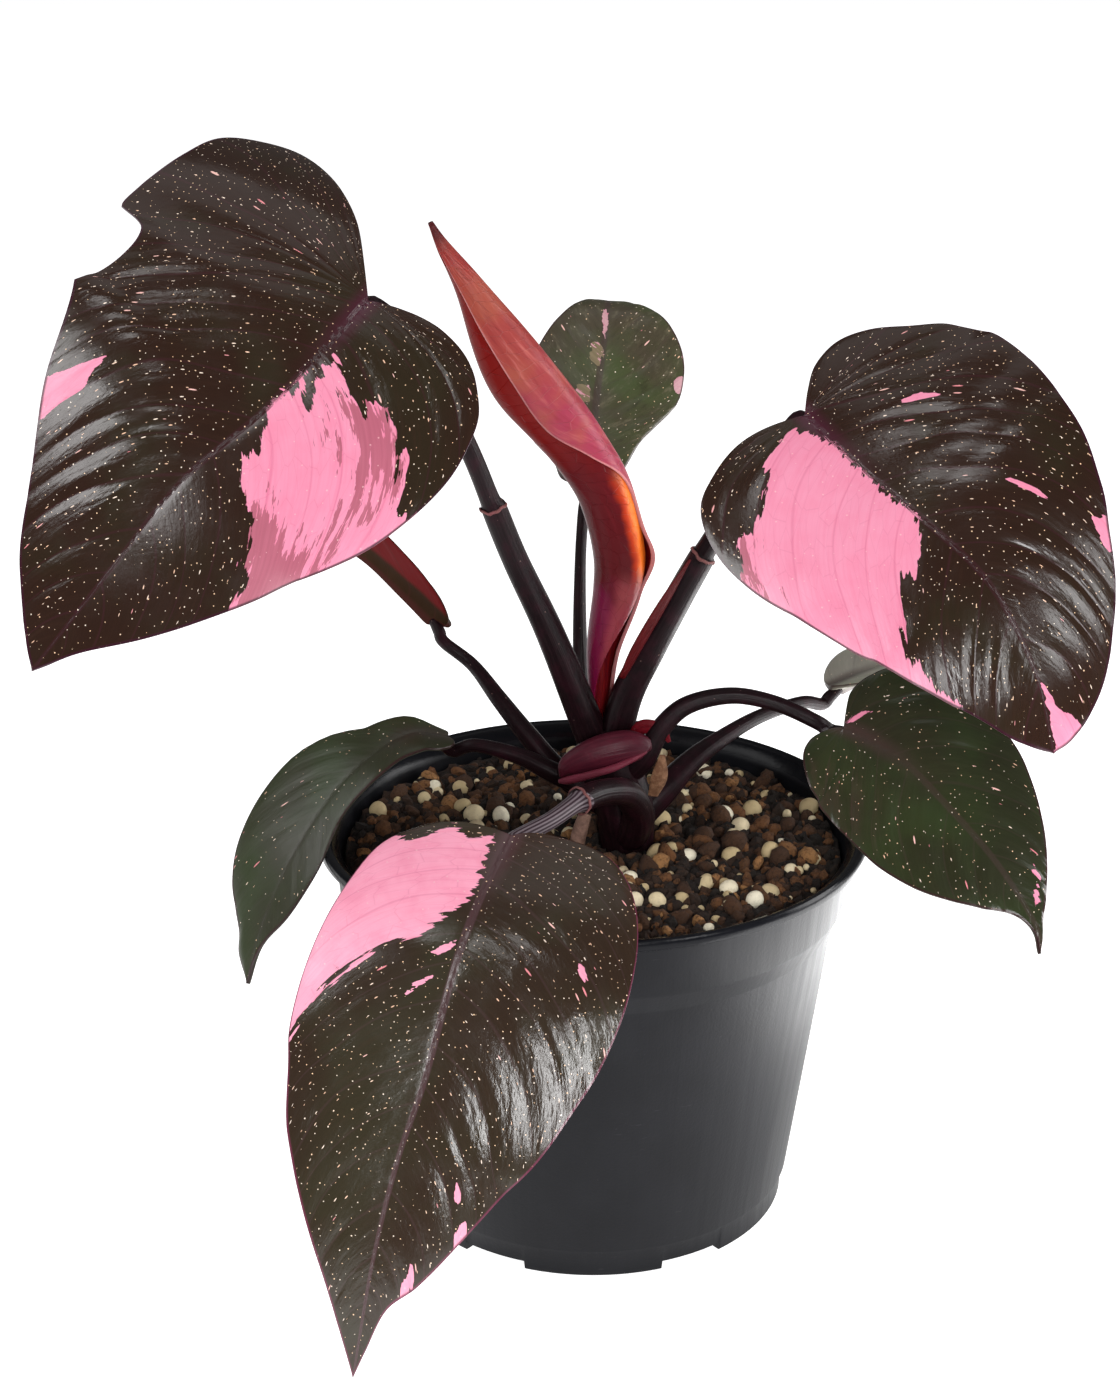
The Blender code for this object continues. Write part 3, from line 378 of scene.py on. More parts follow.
# The rolled leaf: middle, radius, and where the sheet starts and ends round it, in turns
ROLL = [
    ((1.3, 3.8, 101.0), 1.7, 0.05, -0.60),
    ((1.6, 3.2, 108.9), 2.2, 0.05, -0.62),
    ((2.0, 2.0, 121.0), 3.6, 0.05, -0.78),
    ((4.6, 1.0, 133.5), 4.9, 0.03, -0.92),
    ((5.0, 0.5, 142.0), 5.6, 0.05, -1.00),
    ((2.0, 0.0, 154.0), 5.6, 0.05, -1.00),
    ((-2.6, -1.0, 163.0), 5.7, 0.20, -0.96),
    ((-7.6, -2.0, 171.0), 5.8, 0.325, -0.92),
    ((-13.6, -3.5, 179.5), 5.5, 0.32, -0.88),
    ((-19.4, -5.0, 188.5), 4.5, 0.315, -0.84),
    ((-24.6, -6.5, 197.5), 2.9, 0.33, -0.74),
    ((-29.2, -7.6, 205.0), 1.3, 0.36, -0.44),
    ((-31.2, -8.0, 208.8), 0.7, 0.30, -0.34),
]
ROLL_THICKNESS = 0.75
ROLL_PITCH = 1.7
ROLL_STATIONS = 150
ROLL_STEPS = 90
EAR_HEIGHT = 141.0
LOOSE_HEIGHT = 178.0

SMALL_TUBES = {
    "bract": {
        "skin": "bract_skin", "node": "crown_bract", "slot": "bract",
        "rows": [(-6.6, -8.2, 96.7, 0.5), (-4.8, -8.4, 99.3, 2.4), (0.4, -8.0, 101.5, 3.6),
                 (6.2, -7.4, 102.7, 3.7), (10.0, -6.6, 102.7, 2.4), (11.6, -6.2, 102.1, 0.5)],
        "shape": {"flat": 0.75, "flat_axis": (0, 1, 0)}},
    "bract_lip": {
        "skin": "bract_edge", "node": None, "slot": "bract",
        "rows": [(-6.9, -8.9, 96.0, 0.45), (-5.0, -10.2, 96.8, 0.85), (-1.0, -11.0, 98.2, 0.8),
                 (3.6, -10.9, 99.6, 0.75), (7.6, -9.6, 101.0, 0.6), (10.6, -7.8, 102.0, 0.35)],
        "shape": {}},
    "red_shield": {
        "skin": "red_edge", "node": None, "slot": "red_sheath",
        "rows": [(7.2, -2.6, 103.4, 0.5), (10.0, -2.8, 105.4, 1.5), (13.6, -3.6, 105.2, 1.2),
                 (15.4, -4.0, 102.6, 0.4)],
        "shape": {"flat": 0.35, "flat_axis": (0, -1, 0.3)}},
    "red_wing": {
        "skin": "sheath_skin", "node": "petiole_sheath", "slot": "red_sheath",
        "rows": [(5.6, -5.4, 117.0, 0.8), (8.6, -6.6, 124.0, 1.3), (13.6, -8.4, 134.0, 1.2),
                 (18.6, -9.9, 143.4, 0.3)],
        "shape": {"flat": 0.3, "flat_axis": (0.5, -0.8, 0.1)}},
    "dry_remains": {
        "skin": "dry_skin", "node": "dry_sheath", "slot": "dry_sheath",
        "rows": [(12.2, -4.6, 91.0, 1.1), (13.4, -5.2, 95.4, 1.8), (14.0, -4.9, 100.1, 0.6)],
        "shape": {"flat": 0.35, "flat_axis": (0.3, -1, 0)}},
    "air_root": {
        "skin": "root_skin", "node": "aerial_root", "slot": "root",
        "rows": [(-1.6, -6.6, 88, 1.3), (-3, -7, 83, 1.6), (-3.6, -6.9, 78, 1.4),
                 (-3.6, -6.9, 74, 1.1)],
        "shape": {}},
}
TUBE_SIDES = 28
TUBE_SAMPLES = 48

# Dark, light and mottle colour
STALK_SKINS = {
    "petiole_skin": ((0.0066, 0.0020, 0.0031), (0.016, 0.0062, 0.0080), (0.026, 0.0040, 0.0090)),
    "bract_skin": ((0.052, 0.007, 0.015), (0.080, 0.011, 0.021), (0.095, 0.010, 0.022)),
    "bract_edge": ((0.130, 0.016, 0.032), (0.190, 0.035, 0.055), (0.21, 0.03, 0.06)),
    "red_edge": ((0.120, 0.003, 0.008), (0.180, 0.007, 0.014), (0.21, 0.009, 0.020)),
    "sheath_skin": ((0.062, 0.0015, 0.003), (0.105, 0.003, 0.004), (0.120, 0.004, 0.007)),
    "collar_edge": ((0.16, 0.060, 0.060), (0.30, 0.13, 0.11), (0.26, 0.07, 0.09)),
}
# Two colours, size of the mottle, roughness, relief
PLAIN_SKINS = {
    "dry_skin": ((0.150, 0.060, 0.025), (0.280, 0.140, 0.070), 0.6, 0.8, 0.3),
    "root_skin": ((0.200, 0.110, 0.080), (0.330, 0.190, 0.140), 0.5, 0.7, 0.25),
}

OLIVE = (0.026, 0.0178, 0.0088)
DARK_UNDER = (0.038, 0.014, 0.014)
GREEN_UNDER = (0.040, 0.045, 0.028)
LEAF_LOOKS = {
    "dark_leaf": {
        "ground": (0.026, 0.0112, 0.0068), "green": OLIVE, "under": DARK_UNDER,
        "rib": (0.070, 0.013, 0.029), "rim": (0.040, 0.007, 0.018), "rib_show": 0.25,
        "crinkle": 0.10},
    "front_leaf": {
        "ground": (0.031, 0.0180, 0.0110), "green": (0.034, 0.0275, 0.0150),
        "under": DARK_UNDER, "rib": (0.090, 0.046, 0.052), "rim": (0.16, 0.030, 0.065),
        "greenness": 0.5, "rib_show": 0.7, "crinkle": 0.16,
        "pinks": ((0.97, 0.395, 0.540), (0.95, 0.345, 0.490))},
    "green_leaf": {
        "ground": (0.024, 0.026, 0.012), "green": (0.028, 0.041, 0.014), "under": GREEN_UNDER,
        "rib": (0.060, 0.036, 0.032), "rim": (0.035, 0.012, 0.014), "speckle": 0.6,
        "greenness": 0.6, "rib_show": 0.45, "wave": 0.24},
    "smooth_leaf": {
        "ground": (0.030, 0.031, 0.015), "green": (0.032, 0.046, 0.017), "under": GREEN_UNDER,
        "rib": (0.050, 0.040, 0.034), "rim": (0.035, 0.012, 0.014), "speckle": 0.35,
        "greenness": 0.6, "rib_show": 0.25, "rough": 0.36, "wave": 0.12},
    # Lighter ground than the front leaves: partly its own greener colour, partly painted sheen
    "far_leaf": {
        "ground": (0.060, 0.048, 0.029), "green": (0.056, 0.074, 0.026),
        "under": (0.085, 0.075, 0.060), "rib": (0.060, 0.034, 0.034),
        "rim": (0.050, 0.025, 0.024), "speckle": 0.6, "greenness": 0.6, "rib_show": 0.6,
        "rough": 0.34, "wave": 0.2, "marble": 0.55,
        "dulls": ((0.22, 0.17, 0.095), (0.17, 0.13, 0.07)),
        "pinks": ((0.60, 0.34, 0.37), (0.52, 0.26, 0.30))},
    # Pale grey ground: painted sheen of a leaf seen edge-on, much lighter than its own colour
    "sheen_grey_leaf": {
        "ground": (0.34, 0.32, 0.27), "green": (0.32, 0.34, 0.25), "under": (0.16, 0.15, 0.12),
        "rib": (0.075, 0.050, 0.045), "rim": (0.050, 0.025, 0.024), "speckle": 0.4,
        "greenness": 0.5, "rib_show": 0.4, "rough": 0.34},
    "back_leaf": {
        "ground": (0.030, 0.022, 0.014), "green": OLIVE, "under": (0.032, 0.016, 0.008),
        "rib": (0.060, 0.016, 0.014), "rim": (0.030, 0.008, 0.008), "speckle": 0.3,
        "flank": (0.13, 0.010, 0.011), "rough": 0.5, "spec": 0.04},
}
# Leaf, its look, its slot, fineness of its mesh
LEAF_BUILDS = [
    ("leaf_upper_left", "dark_leaf", "leaf_dark", 1.0),
    ("leaf_upper_right", "dark_leaf", "leaf_dark", 1.0),
    ("leaf_front", "front_leaf", "leaf_dark", 1.0),
    ("leaf_right", "green_leaf", "leaf_green", 0.8),
    ("leaf_left", "smooth_leaf", "leaf_green", 0.75),
    ("leaf_back", "far_leaf", "leaf_green", 0.6),
    ("leaf_back_right", "sheen_grey_leaf", "leaf_green", 0.5),
    ("leaf_back_left", "back_leaf", "leaf_brown", 0.5),
]


# Shapes

def smooth_run(points, steps=12):
    """A curve through the points. A point given twice stays a corner."""
    runs = [[]]
    for point in [np.array(p, float) for p in points]:
        if runs[-1] and np.allclose(runs[-1][-1], point):
            runs.append([point])
        else:
            runs[-1].append(point)
    curve = []
    for run in runs:
        ends = [2 * run[0] - run[1]] + run + [2 * run[-1] - run[-2]]
        for a, b, c, d in zip(ends, ends[1:], ends[2:], ends[3:]):
            for t in np.arange(steps) / steps:
                curve.append(0.5 * (2 * b + (c - a) * t + (2 * a - 5 * b + 4 * c - d) * t * t
                                    + (3 * b - a - 3 * c + d) * t ** 3))
    curve.append(runs[-1][-1])
    return np.array(curve)


def lengths_of(curve):
    steps = np.linalg.norm(np.diff(curve[:, :3], axis=0), axis=1)
    return np.concatenate([[0.0], np.cumsum(steps)])


def along_curve(curve, run, at):
    return np.stack([np.interp(at, run, curve[:, k]) for k in range(curve.shape[1])], -1)


def spaced(curve, count):
    run = lengths_of(curve)
    return along_curve(curve, run, np.linspace(0, run[-1], count))


def unit(v):
    return v / np.linalg.norm(v, axis=-1, keepdims=True)


def piece(name, points, faces, look, replaces=(), attributes=None, flat=False):
    """A mesh object that rides on the plant, from points in millimetres."""
    mesh = bpy.data.meshes.new(name)
    mesh.from_pydata([tuple(p) for p in np.asarray(points, float) * MM], [], faces)
    for key, values in (attributes or {}).items():
        values = np.asarray(values, np.float32)
        vector = values.ndim == 2
        layer = mesh.attributes.new(key, "FLOAT_VECTOR" if vector else "FLOAT", "POINT")
        layer.data.foreach_set("vector" if vector else "value", values.ravel())
    if not flat:
        mesh.shade_smooth()
    mesh.update()
    mesh.materials.append(look)
    obj = bpy.data.objects.new(name, mesh)
    bpy.context.scene.collection.objects.link(obj)
    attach(obj, "root")
    if replaces:
        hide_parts(*replaces)
    return obj


def turn_outward(obj, sharp_deg=None):
    """Turns the faces outward. With an angle it also welds doubles and marks sharper edges."""
    made = bmesh.new()
    made.from_mesh(obj.data)
    if sharp_deg:
        bmesh.ops.remove_doubles(made, verts=made.verts, dist=0.01 * MM)
    bmesh.ops.recalc_face_normals(made, faces=made.faces)
    if sharp_deg:
        for edge in made.edges:
            if len(edge.link_faces) == 2 and edge.calc_face_angle(0) > math.radians(sharp_deg):
                edge.smooth = False
    made.to_mesh(obj.data)
    made.free()


def ring_faces(rings, sides, start=0, flip=False, joined=False):
    """Quads between rings of points. Joined rings close on themselves."""
    faces = []
    for i in range(rings if joined else rings - 1):
        near, far = start + i * sides, start + (i + 1) % rings * sides
        for k in range(sides):
            j = (k + 1) % sides
            face = (near + k, near + j, far + j, far + k)
            faces.append((face[0], face[3], face[2], face[1]) if flip else face)
    return faces


class Blade:
    """The bent surface of one leaf: maps (along, across) in millimetres to space."""

    def __init__(self, leaf):
        self.curve = smooth_run(leaf["midrib"], 16)
        self.run = lengths_of(self.curve)
        self.length = self.run[-1]
        self.face = [np.array(f, float) for f in leaf["face"]]
        self.leaf = leaf

    def on_midrib(self, along):
        return along_curve(self.curve, self.run, np.clip(along, 0.0, self.length))

    def frame(self, along):
        held = np.clip(along, 0.0, self.length)
        tangent = unit(self.on_midrib(held + 1.0) - self.on_midrib(held - 1.0))
        share = (held / self.length)[..., None]
        face = self.face[0] * (1 - share) + self.face[1] * share
        up = unit(face - tangent * (face * tangent).sum(-1, keepdims=True))
        side = np.cross(up, tangent)
        return self.on_midrib(held) + tangent * (along - held)[..., None], tangent, side, up

    def at(self, along, across, lift=0.0):
        middle, _, side, up = self.frame(along)
        half = (across > 0).astype(int)
        fold = np.array(self.leaf["fold"])[half]
        bend = np.array(self.leaf["bend"])[half]
        rise = fold * np.abs(across) - bend * across ** 2 / 100
        rise = rise - self.leaf["lobe"] * np.minimum(along, 0.0) ** 2 / 100
        return middle + side * across[..., None] + up * (rise + lift)[..., None]


def inside_distance(points, outline):
    """Signed distance from a closed outline, positive inside."""
    outline = np.array(outline, float)
    best = np.full(len(points), 1e9)
    inside = np.zeros(len(points), bool)
    for a, b in zip(outline, np.roll(outline, -1, axis=0)):
        step = b - a
        t = np.clip(((points - a) @ step) / max(step @ step, 1e-9), 0, 1)
        best = np.minimum(best, np.linalg.norm(points - a - t[:, None] * step, axis=1))
        crosses = (a[1] > points[:, 1]) != (b[1] > points[:, 1])
        with np.errstate(divide="ignore", invalid="ignore"):
            meet = a[0] + (points[:, 1] - a[1]) * step[0] / step[1]
        inside ^= crosses & (points[:, 0] < meet)
    return np.where(inside, best, -best)


def within(points, outlines):
    """The largest signed distance over several outlines. Small ones count more, to stay whole."""
    found = np.full(len(points), -30.0)
    for outline in outlines:
        x, y = np.array(outline, float).T
        area = abs(np.sum(x * np.roll(y, -1) - y * np.roll(x, -1))) / 2
        keen = 1.0 if area > 60 else 3.0
        found = np.maximum(found, keen * inside_distance(points, outline))
    return found


def half_grid(leaf, length, side, fan, body, columns):
    """Vein lines of one half. Returns (along, across), place in the row of veins, distance out
    from the midrib and the same as a share."""
    outline = [(0, 0)] + leaf[side] + [(length, 0)]
    curve = smooth_run(outline, 24)
    run = lengths_of(curve)
    at = np.linspace(0, run[-1], 3000)
    margin = along_curve(curve, run, at)
    lean = VEIN_COT_AT_BASE + VEIN_COT_GAIN * np.clip(margin[:, 0] / length, 0, 1) ** 1.5
    foot = np.maximum.accumulate(margin[:, 0] - lean * np.abs(margin[:, 1]))
    foot = np.clip(foot, 0, length)
    first = at[np.argmax(foot > 0)]
    rising = foot + np.linspace(0, 1e-6, len(foot))
    body_feet = np.linspace(0, length, body + 1)
    body_at = np.interp(body_feet, rising, at)
    body_at[0] = first
    fan_at = np.linspace(1.2, first, fan + 1)[:-1]
    stations = np.concatenate([fan_at, body_at])
    feet = np.concatenate([np.zeros(fan), body_feet])
    ends = along_curve(curve, run, stations)
    share = (np.linspace(0, 1, columns + 1) ** 1.15)[None, :, None]
    start = np.stack([feet, np.zeros_like(feet)], -1)[:, None, :]
    end = ends[:, None, :]
    reach = np.linalg.norm(end - start, axis=-1, keepdims=True)
    spread = end[..., 1:]
    slope = (end[..., :1] - start[..., :1]) / (np.abs(spread) + 0.01)
    bow = VEIN_BOW * leaf.get("bow", 1.0) * np.clip(0.4 + 0.5 * slope, 0.2, 1.0)
    control = (start + end) / 2 + bow * np.concatenate([-0.8 * np.abs(spread), spread], -1)
    grid = (1 - share) ** 2 * start + 2 * share * (1 - share) * control + share ** 2 * end
    middle = grid[:, int(columns * 0.6)]
    vein = np.concatenate([[0.0], np.cumsum(np.linalg.norm(np.diff(middle, axis=0), axis=1))])
    out = reach[..., 0] * share[..., 0]
    return (grid, np.repeat(vein[:, None], columns + 1, 1), out,
            np.broadcast_to(share[..., 0], out.shape))


def blade_lift(leaf, side, along, across, vein, out, share, fan):
    """Quilting between the veins. Returns the lift, the phase from vein to vein and the calm."""
    phase = vein / VEIN_SPACING + (0.35 if side == "left" else 0.0)
    phase = phase + 0.16 * np.sin(vein * 0.23) + 0.05 * np.sin(out * 0.2 + vein * 0.5)
    ridge = np.abs(np.sin(math.pi * phase)) ** 0.8 - 0.62
    fade = np.clip((out - 2.0) / 9.0, 0, 1) * (1 - 0.75 * share ** 5)
    fade = fade * np.clip(np.arange(len(fade)) / fan, 0.45, 1)[:, None]
    calm = np.ones_like(along)
    for sign, first, last, least in leaf.get("calm", ()):
        part = least + (1 - least) * np.clip((along - first) / (last - first), 0, 1)
        calm = np.where(across * sign > 0, part, calm)
    swell = np.sin(0.11 * along + 0.9) * np.cos(0.13 * across + 0.4)
    lift = leaf.get("quilt", 1.0) * (QUILT_HEIGHT * ridge + SWELL_HEIGHT * swell) * (fade * calm)
    return lift, phase, calm


def build_leaf(name, look, fine):
    """One blade: both faces, quilted between its veins, with the midrib standing out below."""
    leaf = LEAVES[name]
    blade = Blade(leaf)
    fan, body, columns = (int(n * fine) for n in (BLADE_FAN, BLADE_BODY, BLADE_COLUMNS))
    points, faces, marks = [], [], []
    count = 0
    for side in ("left", "right"):
        grid, vein, out, share = half_grid(leaf, blade.length, side, fan, body, columns)
        along, across = grid[..., 0], grid[..., 1]
        lift, phase, calm = blade_lift(leaf, side, along, across, vein, out, share, fan)
        near = np.abs(across)
        to_tip = 1 - along / blade.length
        lift = lift - MIDRIB_GROOVE * np.exp(-(near / 0.6) ** 2) * np.clip(to_tip, 0.15, 1)
        thick = BLADE_THICKNESS * (1 - 0.62 * share ** 10)
        deepest = MIDRIB_DEPTH * leaf["petiole_radius"] - 0.2
        depth = 0.2 + np.clip(along / 3.0, 0, 1) * deepest * np.clip(to_tip, 0, 1) ** 1.3
        rib = depth * np.exp(-(near / MIDRIB_WIDTH) ** 2)
        top = blade.at(along, across, lift + thick / 2)
        under = blade.at(along, across, lift - thick / 2 - rib)
        edge = (1 - share) * np.maximum(out.max(1, keepdims=True), 0.5)
        zones = [within(grid.reshape(-1, 2), zone.get(name, [])) for zone in (PINK, DUSK, GREEN)]

        total = along.size
        index = count + np.arange(total).reshape(along.shape)
        a, b, c, d = index[:-1, :-1], index[1:, :-1], index[1:, 1:], index[:-1, 1:]
        quads = np.stack([a, b, c, d], -1).reshape(-1, 4)
        sheets = [quads, quads[:, ::-1] + total]
        for line in (index[:, -1], index[0]):
            sheets.append(np.stack([line[:-1], line[1:], line[1:] + total, line[:-1] + total], -1))
        if side == "left":
            sheets = [sheet[:, ::-1] for sheet in sheets]
        faces += [tuple(q) for q in np.vstack(sheets).tolist()]
        for layer, below in ((top, 0.0), (under, 1.0)):
            points.append(layer.reshape(-1, 3))
            rows = [along, across, edge, vein, out, share, *zones, np.full(total, below), phase,
                    calm]
            marks.append(np.stack([row.ravel() for row in rows], -1))
        count += 2 * total
    marks = np.vstack(marks)
    obj = piece(name + "_blade", np.vstack(points), faces, look, [name], {
        "leaf": marks[:, 0:3], "vein": marks[:, 3:6], "mark": marks[:, 6:9],
        "under": marks[:, 9], "phase": marks[:, 10], "calm": marks[:, 11]})
    turn_outward(obj, LEAF_SHARP_DEG)


def tube_points(rows, sides, samples, flat=1.0, flat_axis=(0, 0, 1), profile=None):
    """Rings of a tube through (x, y, z, radius), with (distance, angle, share) at each point."""
    path = spaced(smooth_run(rows, 12), samples)
    run = lengths_of(path)
    ring = np.arange(sides) * 2 * math.pi / sides
    side = np.array(flat_axis, float)
    points, marks = [], []
    for i, row in enumerate(path):
        tangent = unit(path[min(i + 1, samples - 1)][:3] - path[max(i - 1, 0)][:3])
        side = unit(side - tangent * (side @ tangent))
        other = np.cross(tangent, side)
        radius = row[3] * (profile(run[i], ring) if profile else np.ones(sides))
        points.append(row[:3] + radius[:, None] * (np.cos(ring)[:, None] * side * flat
                                                   + np.sin(ring)[:, None] * other))
        marks.append(np.stack([np.full(sides, run[i]), ring, np.full(sides, run[i] / run[-1])], -1))
    return np.vstack(points), np.vstack(marks)


def tube_faces(sides, samples, start=0):
    last = start + (samples - 1) * sides
    caps = [tuple(range(start + sides - 1, start - 1, -1)), tuple(range(last, last + sides))]
    return ring_faces(samples, sides, start) + caps


# Surfaces

class Value:
    """A shader output that can be added, multiplied and so on."""

    def __init__(self, look, socket):
        self.look, self.socket = look, socket

    def __add__(self, other):
        return self.look.math("ADD", self, other)

    def __sub__(self, other):
        return self.look.math("SUBTRACT", self, other)

    def __rsub__(self, other):
        return self.look.math("SUBTRACT", other, self)

    def __mul__(self, other):
        return self.look.math("MULTIPLY", self, other)

    def __truediv__(self, other):
        return self.look.math("DIVIDE", self, other)


class Look:
    """A procedural material: helpers that add and link shader nodes."""

    def __init__(self, name):
        self.mat = bpy.data.materials.new(name)
        self.mat.use_nodes = True
        self.tree = self.mat.node_tree
        self.shader = self.tree.nodes["Principled BSDF"]

    def feed(self, socket, value):
        if isinstance(value, Value):
            self.tree.links.new(value.socket, socket)
        elif isinstance(value, tuple):
            socket.default_value = (*value, 1.0)
        else:
            socket.default_value = value

    def node(self, kind, inputs, outputs=(0,), **settings):
        """Adds a node. Returns its output, or a list of outputs where several are asked for."""
        made = self.tree.nodes.new("ShaderNode" + kind)
        for key, value in settings.items():
            setattr(made, key, value)
        for key, value in inputs.items():
            self.feed(made.inputs[key], value)
        values = [Value(self, made.outputs[key]) for key in outputs]
        return values if len(values) > 1 else values[0]

    def math(self, operation, a, b=0.0, clamp=False):
        return self.node("Math", {0: a, 1: b}, operation=operation, use_clamp=clamp)

    def smooth(self, value, low, high):
        """0 below low and 1 above high, or the other way round where low is over high."""
        if low > high:
            return 1.0 - self.smooth(value, high, low)
        return self.node("MapRange", {0: value, 1: low, 2: high}, interpolation_type="SMOOTHSTEP")

    def mix(self, factor, a, b):
        return self.node("Mix", {0: factor, 6: a, 7: b}, (2,), data_type="RGBA")

    def mark(self, name):
        """A number that the mesh carries at its points."""
        return self.node("Attribute", {}, ("Fac",), attribute_name=name)

    def marks(self, name):
        """Three numbers that the mesh carries at its points."""
        return self.split(self.node("Attribute", {}, ("Vector",), attribute_name=name))

    def split(self, vector):
        return self.node("SeparateXYZ", {0: vector}, (0, 1, 2))

    def join(self, x, y):
        return self.node("CombineXYZ", {0: x, 1: y})

    def place(self, scale=1.0):
        """Object coordinates in millimetres, times scale."""
        at = self.node("TexCoord", {}, ("Object",))
        return self.node("VectorMath", {0: at, 3: scale / MM}, operation="SCALE")

    def noise(self, vector, scale=1.0, detail=2.0, rough=0.5):
        return self.node("TexNoise", {"Vector": vector, "Scale": scale, "Detail": detail,
                                      "Roughness": rough})

    def cells(self, vector, outputs=("Distance", "Color"), feature="F1"):
        """Distance from the middle of each cell, and its colour."""
        return self.node("TexVoronoi", {"Vector": vector, "Scale": 1.0}, outputs,
                         feature=feature, voronoi_dimensions="2D")

    def net(self, vector):
        """Distance to the edges between cells."""
        return self.cells(vector, ("Distance",), "DISTANCE_TO_EDGE")

    def bump(self, height):
        """height is in millimetres."""
        return self.node("Bump", {"Height": height, "Distance": MM, "Strength": 1.0})

    def finish(self, colour, roughness, **values):
        values = {"Base_Color": colour, "Roughness": roughness, **values}
        for key, value in values.items():
            self.feed(self.shader.inputs[key.replace("_", " ")], value)
        return self.mat


def scaled(colour, factor):
    return tuple(c * factor for c in colour)


def flecks(look, long, wide, cell, stretch, size, share, seed):
    """Specks, one in each of some cells, drawn out along the veins. Returns mask and colour."""
    spot = look.join(long * (1.0 / (cell * stretch)) + seed * 7.3,
                     wide * (1.0 / cell) + seed * 3.1)
    distance, shade = look.cells(spot)
    chance = look.split(shade)
    radius = chance[1] * (size / cell * 1.1) + size / cell * 0.35
    chosen = look.math("GREATER_THAN", chance[0], 1.0 - share)
    return look.smooth(distance / radius, 1.0, 0.65) * chosen, chance[2]


def leaf_look(name, ground, green, under, rib, rim, speckle=1.0, greenness=0.35, rib_show=0.15,
              rough=0.21, flank=None, spec=0.5, wave=0.16, marble=0.0, crinkle=0.0,
              dulls=((0.44, 0.110, 0.165), (0.51, 0.135, 0.200)),
              pinks=((0.88, 0.302, 0.448), (0.86, 0.262, 0.405))):
    """A glossy variegated leaf."""
    look = Look(name)
    mix, smooth, noise = look.mix, look.smooth, look.noise
    along, across, edge = look.marks("leaf")
    vein, out, _ = look.marks("vein")
    pink_in, dusk_in, green_in = look.marks("mark")
    below, phase, calm = (look.mark(key) for key in ("under", "phase", "calm"))
    flat = look.join(along, across)

    def veined(by_out, by_vein, detail, grit):
        """Noise drawn out along the veins."""
        return noise(look.join(out * by_out, vein * by_vein), 1.0, detail, grit)

    # Dark ground
    patchy = noise(flat, 0.055, 3.0, 0.55)
    tint = smooth(patchy, 0.40 + 0.3 * (0.5 - greenness), 0.75) + smooth(green_in, -6.0, 5.0) * 0.85
    colour = mix(look.math("MINIMUM", tint, 1.0), ground, green)
    fine = veined(0.10, 0.9, 3.0, 0.6)
    colour = mix(smooth(fine, 0.45, 0.8) * 0.30, colour, scaled(ground, 1.7))
    if marble:
        blotch = veined(0.13, 0.24, 5.0, 0.72)
        colour = mix(smooth(blotch, 0.52, 0.68) * marble, colour, (0.18, 0.155, 0.10))
        colour = mix(smooth(blotch, 0.46, 0.30) * marble, colour, (0.020, 0.016, 0.009))

    # Veins and midrib
    on_vein = smooth(look.math("ABSOLUTE", look.math("FRACT", phase) - 0.5), 0.455, 0.495)
    colour = mix(on_vein * 0.22, colour, rib)
    from_rib = look.math("ABSOLUTE", across)
    taper = look.math("SUBTRACT", 1.0, along / 120.0, clamp=True)
    rib_line = smooth(from_rib / (taper * 1.1 + 0.15), 1.0, 0.5)
    base = smooth(along, 26.0, 0.0) * smooth(from_rib, 3.6, 0.3)
    colour = mix(look.math("MAXIMUM", rib_line * rib_show, base * 0.8), colour, rib)

    # Cream dots, warm drops and rosy dashes
    off_rib = smooth(out, 2.0, 5.0)
    dots, hue = flecks(look, along, across, 1.5, 1.0, 0.108, 0.62 * speckle, 1)
    cream = mix(smooth(hue, 0.3, 0.75), (1.0, 0.68, 0.42), (1.0, 0.85, 0.70))
    colour = mix(dots, colour, cream)
    drops, hue = flecks(look, out, vein, 1.6, 2.8, 0.115, 0.42 * speckle, 2)
    warm = mix(smooth(hue, 0.3, 0.75), (1.0, 0.62, 0.42), (1.0, 0.82, 0.68))
    colour = mix(drops * off_rib, colour, warm)
    dashes, hue = flecks(look, out, vein, 2.8, 4.6, 0.20, 0.17, 3)
    rosy = mix(smooth(hue, 0.2, 0.7), (0.82, 0.27, 0.30), (0.95, 0.56, 0.50))
    colour = mix(dashes * off_rib, colour, rosy)

    # Pink sectors, with duller marbling
    ragged = pink_in + (veined(0.10, 0.55, 3.0, 0.55) - 0.5) * 7.0
    in_pink = smooth(ragged, -0.07, 0.07)
    swirl = veined(0.07, 0.42, 4.0, 0.7)
    dusky = smooth(dusk_in * 0.06 + (swirl - 0.56) * 1.5, -0.015, 0.015)
    threads = veined(0.06, 1.5, 2.0, 0.6)
    blush = smooth(noise(flat, 0.16, 4.0, 0.6), 0.42, 0.72)
    net = look.net(look.join(out * 0.16, vein * 0.42))
    scar = smooth(noise(flat, 0.9, 3.0, 0.6), 0.70, 0.78)
    pale, _ = flecks(look, along, across, 2.0, 1.0, 0.14, 0.30, 5)
    pink = mix(smooth(threads, 0.35, 0.75), *pinks)
    for mask, tone in ((blush * 0.40, (0.84, 0.215, 0.345)),
                       (smooth(net, 0.035, 0.0) * 0.22, (0.60, 0.10, 0.20)),
                       (on_vein * 0.30, (0.62, 0.08, 0.19)),
                       (scar * 0.35, (0.45, 0.07, 0.13)),
                       (dusky, mix(smooth(threads, 0.3, 0.8), *dulls)),
                       (pale * 0.55, (0.95, 0.62, 0.62))):
        pink = mix(mask, pink, tone)
    colour = mix(in_pink, colour, pink)
    colour = mix(smooth(edge, 0.75, 0.25) * 0.9, colour, rim)

